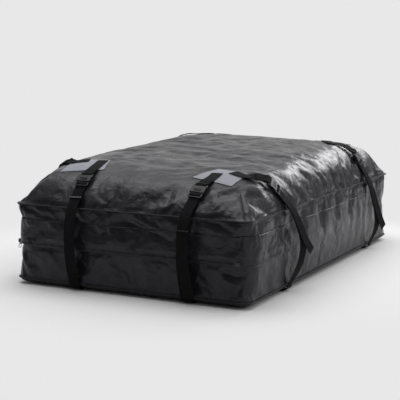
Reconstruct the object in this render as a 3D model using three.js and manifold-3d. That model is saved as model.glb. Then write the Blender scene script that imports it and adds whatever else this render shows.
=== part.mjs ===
import * as THREE from 'three';
import { mergeVertices } from 'three/addons/utils/BufferGeometryUtils.js';
import Module from 'manifold-3d';

const wasm = await Module();
wasm.setup();

// A packed soft roof cargo bag, in millimetres. X runs across it, Y along it, and it stands on Z = 0.

// Bag
const BAG_WIDTH = 854;
const BAG_LENGTH = 1360;
const SEAM_HEIGHT = 270;
const CROWN_RISE = 140;
const SIDE_SHOULDER = 10.9;
const END_SHOULDER = 7.5;
const CROWN_ROUNDING = 0.863;
const SIDE_LEAN = -0.07;
const END_LEAN = 0.132;
const CORNER_RADIUS = 28;
const SIDE_BULGE = 14;
const BULGE_SHARE = 0.8;
const HEM_HEIGHT = 22;
const HEM_TURN_HEIGHT = 8;
const HEM_TURN_INSET = 14;
const FLOOR_PANEL_INSET = 50;
const FOLD_DEPTH = 6;
const FOLD_PITCH = 165;
const GATHER_BAND = 30;

// Seam cords
const WELT_RADIUS = 2.6;
const WELT_SIDES = 4;

// Zip
const ZIP_HEIGHT = 140;
const TAPE_WIDTH = 18;
const TAPE_THICKNESS = 1;
const CHAIN_WIDTH = 6;
const CHAIN_RISE = 1.8;

// Storm flap over the zip: its seam is above the zip, and its edge hangs a little below the zip's middle
const FLAP_TOP = ZIP_HEIGHT + 82;
const FLAP_BOTTOM = ZIP_HEIGHT - 4;
const FLAP_RETURN = 315;
const FLAP_THICKNESS = 1.6;
const FLAP_FLARE = 8.6;

// Zip slider and its ring pull
const SLIDER_LENGTH = 22;
const SLIDER_WIDTH = 12;
const SLIDER_PLATE = 2.4;
const BAIL_SPAN = 10;
const BAIL_REACH = 6.5;
const BAIL_BAR = 2;
const RING_WIRE = 2;
const RING_HALF_WIDTH = 4.5;
const RING_STRAIGHT = 8;
const RING_LEAN = 22;
const RIGHT_SLIDER_FROM_CORNER = 38;
const LEFT_SLIDER_FROM_CORNER = 36;

// Corner patches
const PATCH_THICKNESS = 1.2;
const PATCH_CELLS = 6;

// Webbing and its plastic hardware
const WEB_WIDTH = 38;
const WEB_THICKNESS = 1.8;
const WEB_BEND = 1.7;
const SEWN_LAP = 26;
const LAP_RUN_OUT = 6;
const SLOT_PLAY = 1;
const BUCKLE_WIDTH = 50;
const BUCKLE_THICKNESS = 11;
const BUCKLE_CHAMFER = 3;
const SOCKET_DEPTH = 24;
const SOCKET_HEIGHT = 6.1;
const END_BAR = 4.5;
const END_SLOT = 5;
const MALE_THICKNESS = 4.5;
const LADDER_BAR = 3.5;
const LADDER_SLOT = 4;
const LADDER_CHAMFER = 2.5;
const LADDER_LEAD = 4;
const PRONG_WIDTH = 4.5;
const KEEPER_WALL = 3;
const KEEPER_LENGTH = 5;
const KEEPER_SLACK = 2.4;

// Clearances
const GAP = 0.4;
const SKIN_GAP = 2.2;
const STRAP_SLACK = 0.6;
const BUCKLE_STAND_OFF = 9;

const HALF_WIDTH = BAG_WIDTH / 2;
const HALF_LENGTH = BAG_LENGTH / 2;
const BAR_HALF_THICKNESS = SOCKET_HEIGHT / 2 - GAP / 2;

// Colours read off the bag: coated fabric, pale reinforcing fabric, webbing and moulded plastic
const coatedFabric = new THREE.MeshStandardMaterial({ color: 0x333338, roughness: 0.42, metalness: 0 });
const flapFabric = new THREE.MeshStandardMaterial({ color: 0x2b2b30, roughness: 0.45, metalness: 0 });
const seamBinding = new THREE.MeshStandardMaterial({ color: 0x16161a, roughness: 0.7, metalness: 0 });
const patchFabric = new THREE.MeshStandardMaterial({ color: 0x9a9ca6, roughness: 0.5, metalness: 0 });
const webbing = new THREE.MeshStandardMaterial({ color: 0x141416, roughness: 0.85, metalness: 0 });
const mouldedPlastic = new THREE.MeshStandardMaterial({ color: 0x0e0e10, roughness: 0.35, metalness: 0 });
const zipMetal = new THREE.MeshStandardMaterial({ color: 0x77787c, roughness: 0.35, metalness: 1 });

const bag = new THREE.Group();

function addPiece(name, geometry, material) {
  const piece = new THREE.Mesh(geometry, material);
  piece.name = name;
  bag.add(piece);
  return piece;
}

function signedVolume(positions, triangles) {
  const a = new THREE.Vector3();
  const b = new THREE.Vector3();
  const c = new THREE.Vector3();
  let volume = 0;
  for (let i = 0; i < triangles.length; i += 3) {
    a.fromArray(positions, 3 * triangles[i]);
    b.fromArray(positions, 3 * triangles[i + 1]);
    c.fromArray(positions, 3 * triangles[i + 2]);
    volume += a.dot(b.cross(c)) / 6;
  }
  return volume;
}

// Fills a ring with triangles that run the same way round as it does.
function capTriangles(ring) {
  const normal = new THREE.Vector3();
  ring.forEach((point, i) => normal.add(new THREE.Vector3().crossVectors(point, ring[(i + 1) % ring.length])));
  normal.normalize();
  const acrossRing = ring[1].clone().sub(ring[0]).projectOnPlane(normal).normalize();
  const upRing = new THREE.Vector3().crossVectors(normal, acrossRing);
  const contour = ring.map((point) => new THREE.Vector2(point.dot(acrossRing), point.dot(upRing)));
  return THREE.ShapeUtils.triangulateShape(contour, []).map(([a, b, c]) => {
    const turn = contour[b].clone().sub(contour[a]).cross(contour[c].clone().sub(contour[a]));
    return turn < 0 ? [a, c, b] : [a, b, c];
  });
}

// Skins a row of rings into one closed body. Each ring is a loop of points, and the rings are joined in
// order; the last joins the first when the row is a loop, and otherwise both ends are capped. A ring of
// one point closes an end by itself.
function skinRings(rings, isLoop = false) {
  if (rings[0].length === 1) return skinTipped(rings);
  const count = rings[0].length;
  const positions = rings.flat().flatMap((p) => [p.x, p.y, p.z]);
  const triangles = [];
  const spans = isLoop ? rings.length : rings.length - 1;
  for (let r = 0; r < spans; r++) {
    const low = r * count;
    const high = ((r + 1) % rings.length) * count;
    for (let i = 0; i < count; i++) {
      const j = (i + 1) % count;
      triangles.push(low + i, low + j, high + j, low + i, high + j, high + i);
    }
  }
  if (!isLoop) {
    const last = (rings.length - 1) * count;
    for (const [a, b, c] of capTriangles(rings[0])) triangles.push(a, c, b);
    for (const [a, b, c] of capTriangles(rings[rings.length - 1])) triangles.push(last + a, last + b, last + c);
  }
  return closedGeometry(positions, triangles);
}

function closedGeometry(positions, triangles) {
  if (signedVolume(positions, triangles) < 0) {
    for (let i = 0; i < triangles.length; i += 3) {
      [triangles[i + 1], triangles[i + 2]] = [triangles[i + 2], triangles[i + 1]];
    }
  }
  const geometry = new THREE.BufferGeometry();
  geometry.setAttribute('position', new THREE.Float32BufferAttribute(positions, 3));
  geometry.setIndex(triangles);
  geometry.computeVertexNormals();
  return geometry;
}

// Skins rings between a first and a last point.
function skinTipped(rings) {
  const body = rings.slice(1, -1);
  const count = body[0].length;
  const positions = rings.flat().flatMap((p) => [p.x, p.y, p.z]);
  const lastPoint = 1 + body.length * count;
  const triangles = [];
  for (let i = 0; i < count; i++) {
    const j = (i + 1) % count;
    triangles.push(0, 1 + j, 1 + i);
    for (let r = 0; r < body.length - 1; r++) {
      const low = 1 + r * count;
      const high = low + count;
      triangles.push(low + i, low + j, high + j, low + i, high + j, high + i);
    }
    triangles.push(lastPoint, lastPoint - count + i, lastPoint - count + j);
  }
  return closedGeometry(positions, triangles);
}

// Plan of the bag: a rectangle with round corners, counterclockwise from above. It starts at the rear of
// the left side, so that the left side, front and right side follow one another.
const LONG_SEGMENTS = 22;
const SHORT_SEGMENTS = 14;
const CORNER_SEGMENTS = 3;

function planRing(inset = 0) {
  const x = HALF_WIDTH - inset;
  const y = HALF_LENGTH - inset;
  const r = Math.max(CORNER_RADIUS - inset, 6);
  const sides = [
    { from: [-x, y - r], to: [-x, -y + r], segments: LONG_SEGMENTS, wall: 'left', out: [-1, 0] },
    { from: [-x + r, -y], to: [x - r, -y], segments: SHORT_SEGMENTS, wall: 'front', out: [0, -1] },
    { from: [x, -y + r], to: [x, y - r], segments: LONG_SEGMENTS, wall: 'right', out: [1, 0] },
    { from: [x - r, y], to: [-x + r, y], segments: SHORT_SEGMENTS, wall: 'rear', out: [0, 1] },
  ];
  const corners = [[-x + r, -y + r, Math.PI], [x - r, -y + r, 1.5 * Math.PI], [x - r, y - r, 0], [-x + r, y - r, 0.5 * Math.PI]];
  const ring = [];
  sides.forEach((side, k) => {
    for (let i = 0; i <= side.segments; i++) {
      const t = i / side.segments;
      const point = [0, 1].map((axis) => side.from[axis] + (side.to[axis] - side.from[axis]) * t);
      ring.push({ x: point[0], y: point[1], nx: side.out[0], ny: side.out[1], wall: side.wall });
    }
    const [cx, cy, start] = corners[k];
    for (let i = 1; i < CORNER_SEGMENTS; i++) {
      const angle = start + (i / CORNER_SEGMENTS) * Math.PI / 2;
      const nx = Math.cos(angle);
      const ny = Math.sin(angle);
      ring.push({ x: cx + r * nx, y: cy + r * ny, nx, ny, wall: 'corner' });
    }
  });
  return ring;
}

function smoothStep(low, high, value) {
  const t = Math.min(1, Math.max(0, (value - low) / (high - low)));
  return t * t * (3 - 2 * t);
}

// Folds are valleys only, so what lies on the bag clears them: 0 on the ridge and 1 in the valley.
function fold(along, phase) {
  return 0.5 - 0.5 * Math.cos((2 * Math.PI * along) / FOLD_PITCH + phase + Math.sin(along / 210 + phase));
}

// The walls stand upright. The long sides belly out between their ends, and gather below the top seam.
function wallOut(point, z) {
  if (point.wall === 'corner') return 0;
  const isLongSide = point.wall === 'left' || point.wall === 'right';
  const share = Math.min(1, Math.abs(isLongSide ? point.y / HALF_LENGTH : point.x / HALF_WIDTH) / BULGE_SHARE);
  const middle = (1 - share ** 2) ** 2;
  const rise = Math.min(1, Math.max(0, (z - HEM_HEIGHT) / (SEAM_HEIGHT - HEM_HEIGHT)));
  const belly = isLongSide ? SIDE_BULGE * 4 * rise * (1 - rise) * middle : 0;
  const along = isLongSide ? point.y : point.x;
  const gather = smoothStep(FLAP_BOTTOM + GATHER_BAND, FLAP_TOP, z)
    * (1 - smoothStep(SEAM_HEIGHT - GATHER_BAND, SEAM_HEIGHT, z));
  return belly - (FOLD_DEPTH * gather * fold(along, isLongSide ? 0.4 : 2) * (isLongSide ? middle : 0.6 * middle));
}

function wallRing(z, inset = 0, out = 0) {
  return planRing(inset).map((point) => {
    const reach = wallOut(point, z) * (inset > 0 ? 0 : 1) + out;
    return new THREE.Vector3(point.x + point.nx * reach, point.y + point.ny * reach, z);
  });
}

// The lid rises steeply from the top seam, turns over at a shoulder and is nearly flat in the middle.
function lidHeight(x, y) {
  const u = x / HALF_WIDTH;
  const v = y / HALF_LENGTH;
  const shoulder = Math.max(0, 1 - Math.abs(u) ** SIDE_SHOULDER) * Math.max(0, 1 - Math.abs(v) ** END_SHOULDER);
  return SEAM_HEIGHT + CROWN_RISE * shoulder ** CROWN_ROUNDING * (1 + SIDE_LEAN * u + END_LEAN * v);
}

function lidNormal(x, y) {
  const step = 1;
  const slopeX = (lidHeight(x + step, y) - lidHeight(x - step, y)) / (2 * step);
  const slopeY = (lidHeight(x, y + step) - lidHeight(x, y - step)) / (2 * step);
  return new THREE.Vector3(-slopeX, -slopeY, 1).normalize();
}

function onLid(x, y, lift) {
  return new THREE.Vector3(x, y, lidHeight(x, y)).addScaledVector(lidNormal(x, y), lift);
}

function lidRing(share) {
  return planRing().map((point) => {
    const x = point.x * share;
    const y = point.y * share;
    const along = point.wall === 'left' || point.wall === 'right' ? point.y : point.x;
    const reach = smoothStep(0.99, 0.93, share) * smoothStep(0.6, 0.86, share);
    const valley = point.wall === 'corner' ? 0 : FOLD_DEPTH * reach * fold(along, 1.3);
    const surface = new THREE.Vector3(x, y, lidHeight(x, y));
    return surface.addScaledVector(lidNormal(x, y), -valley);
  });
}

// Bag body, zipped shut and packed: one closed solid
function between(low, high, share) {
  return low + (high - low) * share;
}
const WALL_LEVELS = [
  HEM_HEIGHT, between(HEM_HEIGHT, FLAP_BOTTOM, 0.5),
  FLAP_BOTTOM, between(FLAP_BOTTOM, FLAP_TOP, 0.3), between(FLAP_BOTTOM, FLAP_TOP, 0.7),
  FLAP_TOP, between(FLAP_TOP, SEAM_HEIGHT, 0.5), SEAM_HEIGHT,
];
const LID_SHARES = [0.985, 0.962, 0.93, 0.89, 0.84, 0.77, 0.68, 0.55, 0.38, 0.18];
const bodyRings = [
  [new THREE.Vector3(0, 0, 0)],
  wallRing(0, FLOOR_PANEL_INSET),
  wallRing(HEM_TURN_HEIGHT, HEM_TURN_INSET),
  ...WALL_LEVELS.map((z) => wallRing(z)),
  ...LID_SHARES.map((share) => lidRing(share)),
  [onLid(0, 0, 0)],
];
addPiece('bag_body', skinRings(bodyRings), coatedFabric);

// Cords sewn into the top seam and the bottom hem
function weltRings(z) {
  return planRing().map((point) => {
    const reach = wallOut(point, z) + WELT_RADIUS + GAP;
    const centre = new THREE.Vector3(point.x + point.nx * reach, point.y + point.ny * reach, z);
    const outward = new THREE.Vector3(point.nx, point.ny, 0);
    return Array.from({ length: WELT_SIDES }, (_, i) => {
      const angle = ((i + 0.5) / WELT_SIDES) * 2 * Math.PI;
      const ring = centre.clone().addScaledVector(outward, WELT_RADIUS * Math.cos(angle));
      ring.z += WELT_RADIUS * Math.sin(angle);
      return ring;
    });
  });
}
addPiece('top_seam_welt', skinRings(weltRings(SEAM_HEIGHT), true), seamBinding);
addPiece('bottom_hem_welt', skinRings(weltRings(HEM_HEIGHT), true), seamBinding);

// The zip and its flap run round the front and a little way down both long sides.
const flapPlan = planRing().filter((point) => point.y < FLAP_RETURN - HALF_LENGTH);

function sweepOnWall(section) {
  return skinRings(flapPlan.map((point) => section.map(([out, z]) => {
    const reach = wallOut(point, z) + out;
    return new THREE.Vector3(point.x + point.nx * reach, point.y + point.ny * reach, z);
  })));
}

const flapRows = [
  [FLAP_TOP, GAP],
  [between(FLAP_BOTTOM, FLAP_TOP, 0.7), 0.35 * FLAP_FLARE],
  [between(FLAP_BOTTOM, FLAP_TOP, 0.3), 0.85 * FLAP_FLARE],
  [FLAP_BOTTOM, FLAP_FLARE],
];
const flapInner = flapRows.map(([z, out]) => [out, z]);
const flapOuter = flapRows.map(([z, out]) => [out + FLAP_THICKNESS, z]).reverse();
addPiece('storm_flap', sweepOnWall([...flapInner, ...flapOuter]), flapFabric);

const tapeTop = GAP + TAPE_THICKNESS;
const chainTop = tapeTop + CHAIN_RISE;
const zipSection = [
  [GAP, -TAPE_WIDTH / 2],
  [tapeTop, -TAPE_WIDTH / 2],
  [tapeTop, -CHAIN_WIDTH / 2],
  [chainTop, -CHAIN_WIDTH / 2],
  [chainTop, CHAIN_WIDTH / 2],
  [tapeTop, CHAIN_WIDTH / 2],
  [tapeTop, TAPE_WIDTH / 2],
  [GAP, TAPE_WIDTH / 2],
].map(([out, z]) => [out, z + ZIP_HEIGHT]);
addPiece('zip', sweepOnWall(zipSection), seamBinding);

// Solids that are cut or joined
function toSolid(geometry) {
  const bare = geometry.clone();
  bare.deleteAttribute('normal');
  bare.deleteAttribute('uv');
  const merged = mergeVertices(bare, 1e-4);
  return new wasm.Manifold(new wasm.Mesh({
    numProp: 3,
    vertProperties: Float32Array.from(merged.attributes.position.array),
    triVerts: Uint32Array.from(merged.index.array),
  }));
}

function fromSolid(solid) {
  const mesh = solid.getMesh();
  const geometry = new THREE.BufferGeometry();
  geometry.setAttribute('position', new THREE.Float32BufferAttribute(Array.from(mesh.vertProperties), 3));
  geometry.setIndex(Array.from(mesh.triVerts));
  geometry.computeVertexNormals();
  return geometry;
}

function block(width, depth, height, x, y, z) {
  return toSolid(new THREE.BoxGeometry(width, depth, height).translate(x, y, z));
}

function plate(outline, holes, thickness) {
  const shape = new THREE.Shape(outline.map(([x, y]) => new THREE.Vector2(x, y)));
  shape.holes = holes.map((hole) => new THREE.Path(hole.map(([x, y]) => new THREE.Vector2(x, y))));
  const geometry = new THREE.ExtrudeGeometry(shape, { depth: thickness, bevelEnabled: false });
  return geometry.translate(0, 0, -thickness / 2);
}

function rectangle(halfWidth, low, high) {
  return [[-halfWidth, low], [halfWidth, low], [halfWidth, high], [-halfWidth, high]];
}

// Stands a piece made in its own frame on the bag: x goes across, y along and z outwards.
function placeInFrame(piece, origin, across, along, out) {
  piece.position.copy(origin);
  piece.quaternion.setFromRotationMatrix(new THREE.Matrix4().makeBasis(across, along, out));
}

// Zip slider: a channel that rides over the chain, with a bail below it for the ring. In its own frame
// x runs along the chain, y points up the wall and z points away from the wall.
const sliderFloor = tapeTop + GAP;
const sliderTop = chainTop + GAP + SLIDER_PLATE;
const bailBarY = -SLIDER_WIDTH / 2 - BAIL_REACH;
const bailBarZ = sliderTop - BAIL_BAR / 2;

function sliderGeometry() {
  const height = sliderTop - sliderFloor;
  const channelHeight = chainTop + GAP - sliderFloor;
  const shell = block(SLIDER_LENGTH, SLIDER_WIDTH, height, 0, 0, sliderFloor + height / 2);
  const channel = block(2 * SLIDER_LENGTH, CHAIN_WIDTH + 2 * GAP, 2 * channelHeight, 0, 0, sliderFloor);
  const bailLength = BAIL_REACH + BAIL_BAR;
  const bailY = -SLIDER_WIDTH / 2 - BAIL_REACH + bailLength / 2 - BAIL_BAR / 2;
  const bail = block(BAIL_SPAN, bailLength, BAIL_BAR, 0, bailY, bailBarZ);
  const eyeHeight = BAIL_REACH - BAIL_BAR / 2;
  const eye = block(BAIL_SPAN - 2 * BAIL_BAR, eyeHeight, 2 * BAIL_BAR, 0, -SLIDER_WIDTH / 2 - eyeHeight / 2, bailBarZ);
  return fromSolid(shell.subtract(channel).add(bail).subtract(eye));
}

// Ring pull: an oval wire link that hangs on the bail's bar, leaning a little away from the wall
function ringGeometry() {
  const lean = THREE.MathUtils.degToRad(RING_LEAN);
  const innerRadius = RING_HALF_WIDTH - RING_WIRE / 2;
  const firstCentre = innerRadius - BAIL_BAR / Math.SQRT2 - GAP;
  const steps = 6;
  const centreLine = [];
  for (const [centre, start] of [[firstCentre, Math.PI], [firstCentre + RING_STRAIGHT, 0]]) {
    for (let i = 0; i <= steps; i++) {
      const angle = start + (i / steps) * Math.PI;
      centreLine.push({ centre, angle });
    }
  }
  const down = new THREE.Vector3(0, -Math.cos(lean), Math.sin(lean));
  const sideways = new THREE.Vector3(0, Math.sin(lean), Math.cos(lean));
  const across = new THREE.Vector3(1, 0, 0);
  const bar = new THREE.Vector3(0, bailBarY, bailBarZ);
  const wireSides = 6;
  return skinRings(centreLine.map(({ centre, angle }) => {
    const radial = sideways.clone().multiplyScalar(Math.cos(angle)).addScaledVector(down, Math.sin(angle));
    const middle = bar.clone().addScaledVector(down, centre).addScaledVector(radial, RING_HALF_WIDTH);
    return Array.from({ length: wireSides }, (_, i) => {
      const turn = (i / wireSides) * 2 * Math.PI;
      return middle.clone()
        .addScaledVector(radial, (RING_WIRE / 2) * Math.cos(turn))
        .addScaledVector(across, (RING_WIRE / 2) * Math.sin(turn));
    });
  }), true);
}

const sliderPlaces = [
  {
    side: 'left',
    origin: new THREE.Vector3(-HALF_WIDTH, -HALF_LENGTH + LEFT_SLIDER_FROM_CORNER, ZIP_HEIGHT),
    across: new THREE.Vector3(0, -1, 0),
    out: new THREE.Vector3(-1, 0, 0),
  },
  {
    side: 'right',
    origin: new THREE.Vector3(HALF_WIDTH - RIGHT_SLIDER_FROM_CORNER, -HALF_LENGTH, ZIP_HEIGHT),
    across: new THREE.Vector3(1, 0, 0),
    out: new THREE.Vector3(0, -1, 0),
  },
];
for (const { side, origin, across, out } of sliderPlaces) {
  const along = new THREE.Vector3(0, 0, 1);
  for (const piece of [
    addPiece(`zip_slider_${side}`, sliderGeometry(), zipMetal),
    addPiece(`zip_ring_${side}`, ringGeometry(), zipMetal),
  ]) placeInFrame(piece, origin, across, along, out);
}

// Places on the lid are given in plan from its nearest corner, as distances from the long side and from
// the end. A side of -1 is left and 1 is right, and an end of -1 is front and 1 is rear.
function fromCorner([fromSide, fromEnd], side, end) {
  return [(HALF_WIDTH - fromSide) * side, (HALF_LENGTH - fromEnd) * end];
}

// Four reinforcing patches on the lid's shoulders. Each is a sheet bent over the lid between four corners.
const PATCH_CORNERS = [[109, 108], [105, 228], [222, 248], [262, 140]];

function patchGeometry(side, end) {
  const [a, b, c, d] = PATCH_CORNERS.map((corner) => fromCorner(corner, side, end));
  const sheet = (lift) => {
    const rows = [];
    for (let i = 0; i <= PATCH_CELLS; i++) {
      const row = [];
      for (let j = 0; j <= PATCH_CELLS; j++) {
        const s = i / PATCH_CELLS;
        const t = j / PATCH_CELLS;
        const mix = (axis) => (1 - s) * ((1 - t) * a[axis] + t * b[axis]) + s * ((1 - t) * d[axis] + t * c[axis]);
        row.push(onLid(mix(0), mix(1), lift));
      }
      rows.push(row);
    }
    return rows;
  };
  const under = sheet(SKIN_GAP);
  const over = sheet(SKIN_GAP + PATCH_THICKNESS);
  return skinRings(under.map((row, i) => [...row, ...over[i].slice().reverse()]));
}

// Carries a flat band along a path. Each step of the path has a point and the direction across the band.
// The direction is held until it has turned by more than a few degrees, so that most faces of the band
// are flat, except where a step asks for its own direction exactly.
const HELD_TURN = Math.cos(THREE.MathUtils.degToRad(3));

function bandGeometry(path) {
  const points = path.map((step) => step.point);
  let side;
  return skinRings(path.map(({ point, across, isExact }, i) => {
    const before = points[Math.max(0, i - 1)];
    const after = points[Math.min(points.length - 1, i + 1)];
    const tangent = after.clone().sub(before).normalize();
    const arriving = point.clone().sub(before).normalize();
    const isInner = i > 0 && i < points.length - 1;
    const mitre = isInner ? 1 / Math.max(0.6, arriving.dot(tangent)) : 1;
    const turned = across.clone().addScaledVector(tangent, -across.dot(tangent)).normalize();
    if (!side || isExact || side.dot(turned) < HELD_TURN) side = turned;
    const face = new THREE.Vector3().crossVectors(side, tangent).normalize();
    const halfWidth = WEB_WIDTH / 2;
    const halfThickness = (WEB_THICKNESS / 2) * mitre;
    return [[-1, -1], [1, -1], [1, 1], [-1, 1]].map(([w, h]) => point.clone()
      .addScaledVector(side, w * halfWidth)
      .addScaledVector(face, h * halfThickness));
  }));
}

// Rounds the inner corners of a line of points in a buckle's frame, given as distance along and height.
function roundCorners(line) {
  const rounded = [line[0]];
  for (let i = 1; i < line.length - 1; i++) {
    const here = new THREE.Vector2(...line[i]);
    for (const other of [line[i - 1], line[i + 1]]) {
      const away = new THREE.Vector2(...other).sub(here);
      const reach = Math.min(WEB_BEND, 0.45 * away.length());
      rounded.push(here.clone().add(away.setLength(reach)).toArray());
    }
  }
  rounded.push(line[line.length - 1]);
  return rounded;
}

// Female half of the side-release buckle. In its own frame y runs down the strap towards the mouth at
// y = 0, and z points away from the bag.
const femaleBack = -(SOCKET_DEPTH + 3);
const endSlotLow = femaleBack - END_SLOT;
const femaleEnd = endSlotLow - END_BAR;
const PRONG_REACH = SOCKET_DEPTH - 2;

function femaleGeometry() {
  const half = BUCKLE_WIDTH / 2;
  const chamfer = BUCKLE_CHAMFER;
  const bodyOutline = [
    [-half, femaleBack + chamfer], [-half + chamfer, femaleBack], [half - chamfer, femaleBack],
    [half, femaleBack + chamfer], [half, 0], [-half, 0],
  ];
  const shell = toSolid(plate(bodyOutline, [], BUCKLE_THICKNESS));
  const socketHalf = half - 4;
  const socket = block(2 * socketHalf, SOCKET_DEPTH + 2, SOCKET_HEIGHT, 0, -SOCKET_DEPTH / 2 + 1, 0);
  const windows = block(2 * BUCKLE_WIDTH, 11, SOCKET_HEIGHT, 0, -SOCKET_DEPTH + 8, 0);
  const endOutline = [
    [-half, femaleBack + chamfer + 2], [-half, femaleEnd + chamfer], [-half + chamfer, femaleEnd],
    [half - chamfer, femaleEnd], [half, femaleEnd + chamfer], [half, femaleBack + chamfer + 2],
  ];
  const slotHalf = WEB_WIDTH / 2 + SLOT_PLAY;
  const frame = toSolid(plate(endOutline, [], 2 * BAR_HALF_THICKNESS));
  const slot = block(2 * slotHalf, END_SLOT, BUCKLE_THICKNESS, 0, endSlotLow + END_SLOT / 2, 0);
  return fromSolid(shell.add(frame).subtract(slot).subtract(socket).subtract(windows));
}

// Male half: two prongs and a guide on a ladder of three bars that the strap is threaded through
const ladderStart = GAP + LADDER_LEAD;
const innerSlot = [ladderStart, ladderStart + LADDER_SLOT];
const outerSlot = [innerSlot[1] + LADDER_BAR, innerSlot[1] + LADDER_BAR + LADDER_SLOT];
const maleEnd = outerSlot[1] + LADDER_BAR;

function maleGeometry() {
  const half = BUCKLE_WIDTH / 2 - 1;
  const prongOut = BUCKLE_WIDTH / 2 - 4 - GAP;
  const prongIn = prongOut - PRONG_WIDTH;
  const guide = 2;
  const chamfer = LADDER_CHAMFER;
  const rightSide = [
    [guide, GAP], [guide, -PRONG_REACH + 4], [0, -PRONG_REACH + 2],
  ].reverse().concat([
    [prongIn - 1.5, GAP], [prongIn - 1.5, -PRONG_REACH + 9], [prongIn, -PRONG_REACH],
    [prongOut - 1.5, -PRONG_REACH], [prongOut, -PRONG_REACH + 3], [prongOut, -PRONG_REACH + 8],
    [prongOut - 2, -PRONG_REACH + 9], [prongOut - 2, GAP], [half, GAP],
    [half, maleEnd - chamfer], [half - chamfer, maleEnd],
  ]);
  const leftSide = rightSide.slice(1).reverse().map(([x, y]) => [-x, y]);
  const slotHalf = WEB_WIDTH / 2 + SLOT_PLAY;
  const holes = [innerSlot, outerSlot].map(([low, high]) => rectangle(slotHalf, low, high));
  return plate([...rightSide, ...leftSide], holes, MALE_THICKNESS);
}

// Web keeper: a plastic frame that holds the strap's tail against the strap
const strandPitch = WEB_THICKNESS + GAP;
const keeperInside = 2 * WEB_THICKNESS + KEEPER_SLACK;

function keeperGeometry() {
  const opening = WEB_WIDTH + 2 * SLOT_PLAY;
  const outer = block(opening + 2 * KEEPER_WALL, KEEPER_LENGTH, keeperInside + 2 * KEEPER_WALL, 0, 0, 0);
  return fromSolid(outer.subtract(block(opening, 2 * KEEPER_LENGTH, keeperInside, 0, 0, 0)));
}

// Eight straps, two from each patch. Root, via and buckle are places on the lid. Points on the hanging part
// are the distance along the wall from the nearest corner, out from the wall, and up as a share of the top
// seam's height. The front and rear straps share their measures, and so do those of the two long sides.
const END_STRAP_LEFT = {
  overEnd: true, root: [205, 230], via: [217, 180], buckle: [234, 62],
  hang: [[237, 14, 0.993], [237, 33, 0.719], [237, 31, 0.393], [237, 10, 0.096]],
  tail: [[245, 38, 0.393], [251, 20, 0.178]],
  keeperAt: 0.5,
};
const END_STRAP_RIGHT = {
  overEnd: true, root: [199, 192], via: [195, 160], buckle: [201, 56],
  hang: [[208, 14, 0.993], [211, 30, 0.719], [212, 25, 0.393], [208, 10, 0.096]],
  tail: [[201, 33, 0.393], [187, 28, 0.089]],
  keeperAt: 1.5,
};
const SIDE_STRAP_FRONT = {
  overEnd: false, root: [157, 218], via: [104, 199], buckle: [30, 252],
  hang: [[302, 13, 0.993], [315, 29, 0.844], [330, 43, 0.593], [328, 35, 0.348], [312, 20, 0.185], [302, 10, 0.096]],
  tail: [[333, 52, 0.611], [350, 65, 0.481]],
};
const SIDE_STRAP_REAR = {
  overEnd: false, root: [177, 240], via: [128, 312], buckle: [28, 304],
  hang: [[280, 13, 0.993], [262, 29, 0.759], [240, 38, 0.452], [234, 28, 0.256], [238, 10, 0.096]],
  tail: [[230, 47, 0.452], [210, 55, 0.311]],
};
const STRAPS = [
  { name: 'front_left', plan: END_STRAP_LEFT, side: -1, end: -1 },
  { name: 'front_right', plan: END_STRAP_RIGHT, side: 1, end: -1 },
  { name: 'rear_left', plan: END_STRAP_LEFT, side: -1, end: 1 },
  { name: 'rear_right', plan: END_STRAP_RIGHT, side: 1, end: 1 },
  { name: 'right_front', plan: SIDE_STRAP_FRONT, side: 1, end: -1 },
  { name: 'right_rear', plan: SIDE_STRAP_REAR, side: 1, end: 1 },
  { name: 'left_front', plan: SIDE_STRAP_FRONT, side: -1, end: -1 },
  { name: 'left_rear', plan: SIDE_STRAP_REAR, side: -1, end: 1 },
];
// How the strap runs in under the hem: out from the wall and up
const HEM_TUCK = [[5, HEM_HEIGHT / 2], [4 - HEM_TURN_INSET, 4.2], [FLOOR_PANEL_INSET * -0.6, 2.8]];
const UPPER_STEPS = 5;
// Shares of the upper strap's length at which it starts to leave the lid and to turn to the buckle
const LEAVES_LID = 0.3;
const TURNS_TO_BUCKLE = 0.5;
// The lower strap's two strands are drawn in spans, one to each hanging point. These are the spans over which
// the tail lies along the strap and over which the strap turns flat to the wall, and the steps to draw them.
const LAID_TOGETHER = 2;
const TOGETHER_STEPS = 5;
const TURNED_BY_SPAN = 1.6;
const TAIL_STEPS = 3;
const TAIL_EASE = 0.3;

function smoothLine(points, steps) {
  return new THREE.CatmullRomCurve3(points, false, 'centripetal').getPoints(steps);
}

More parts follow.
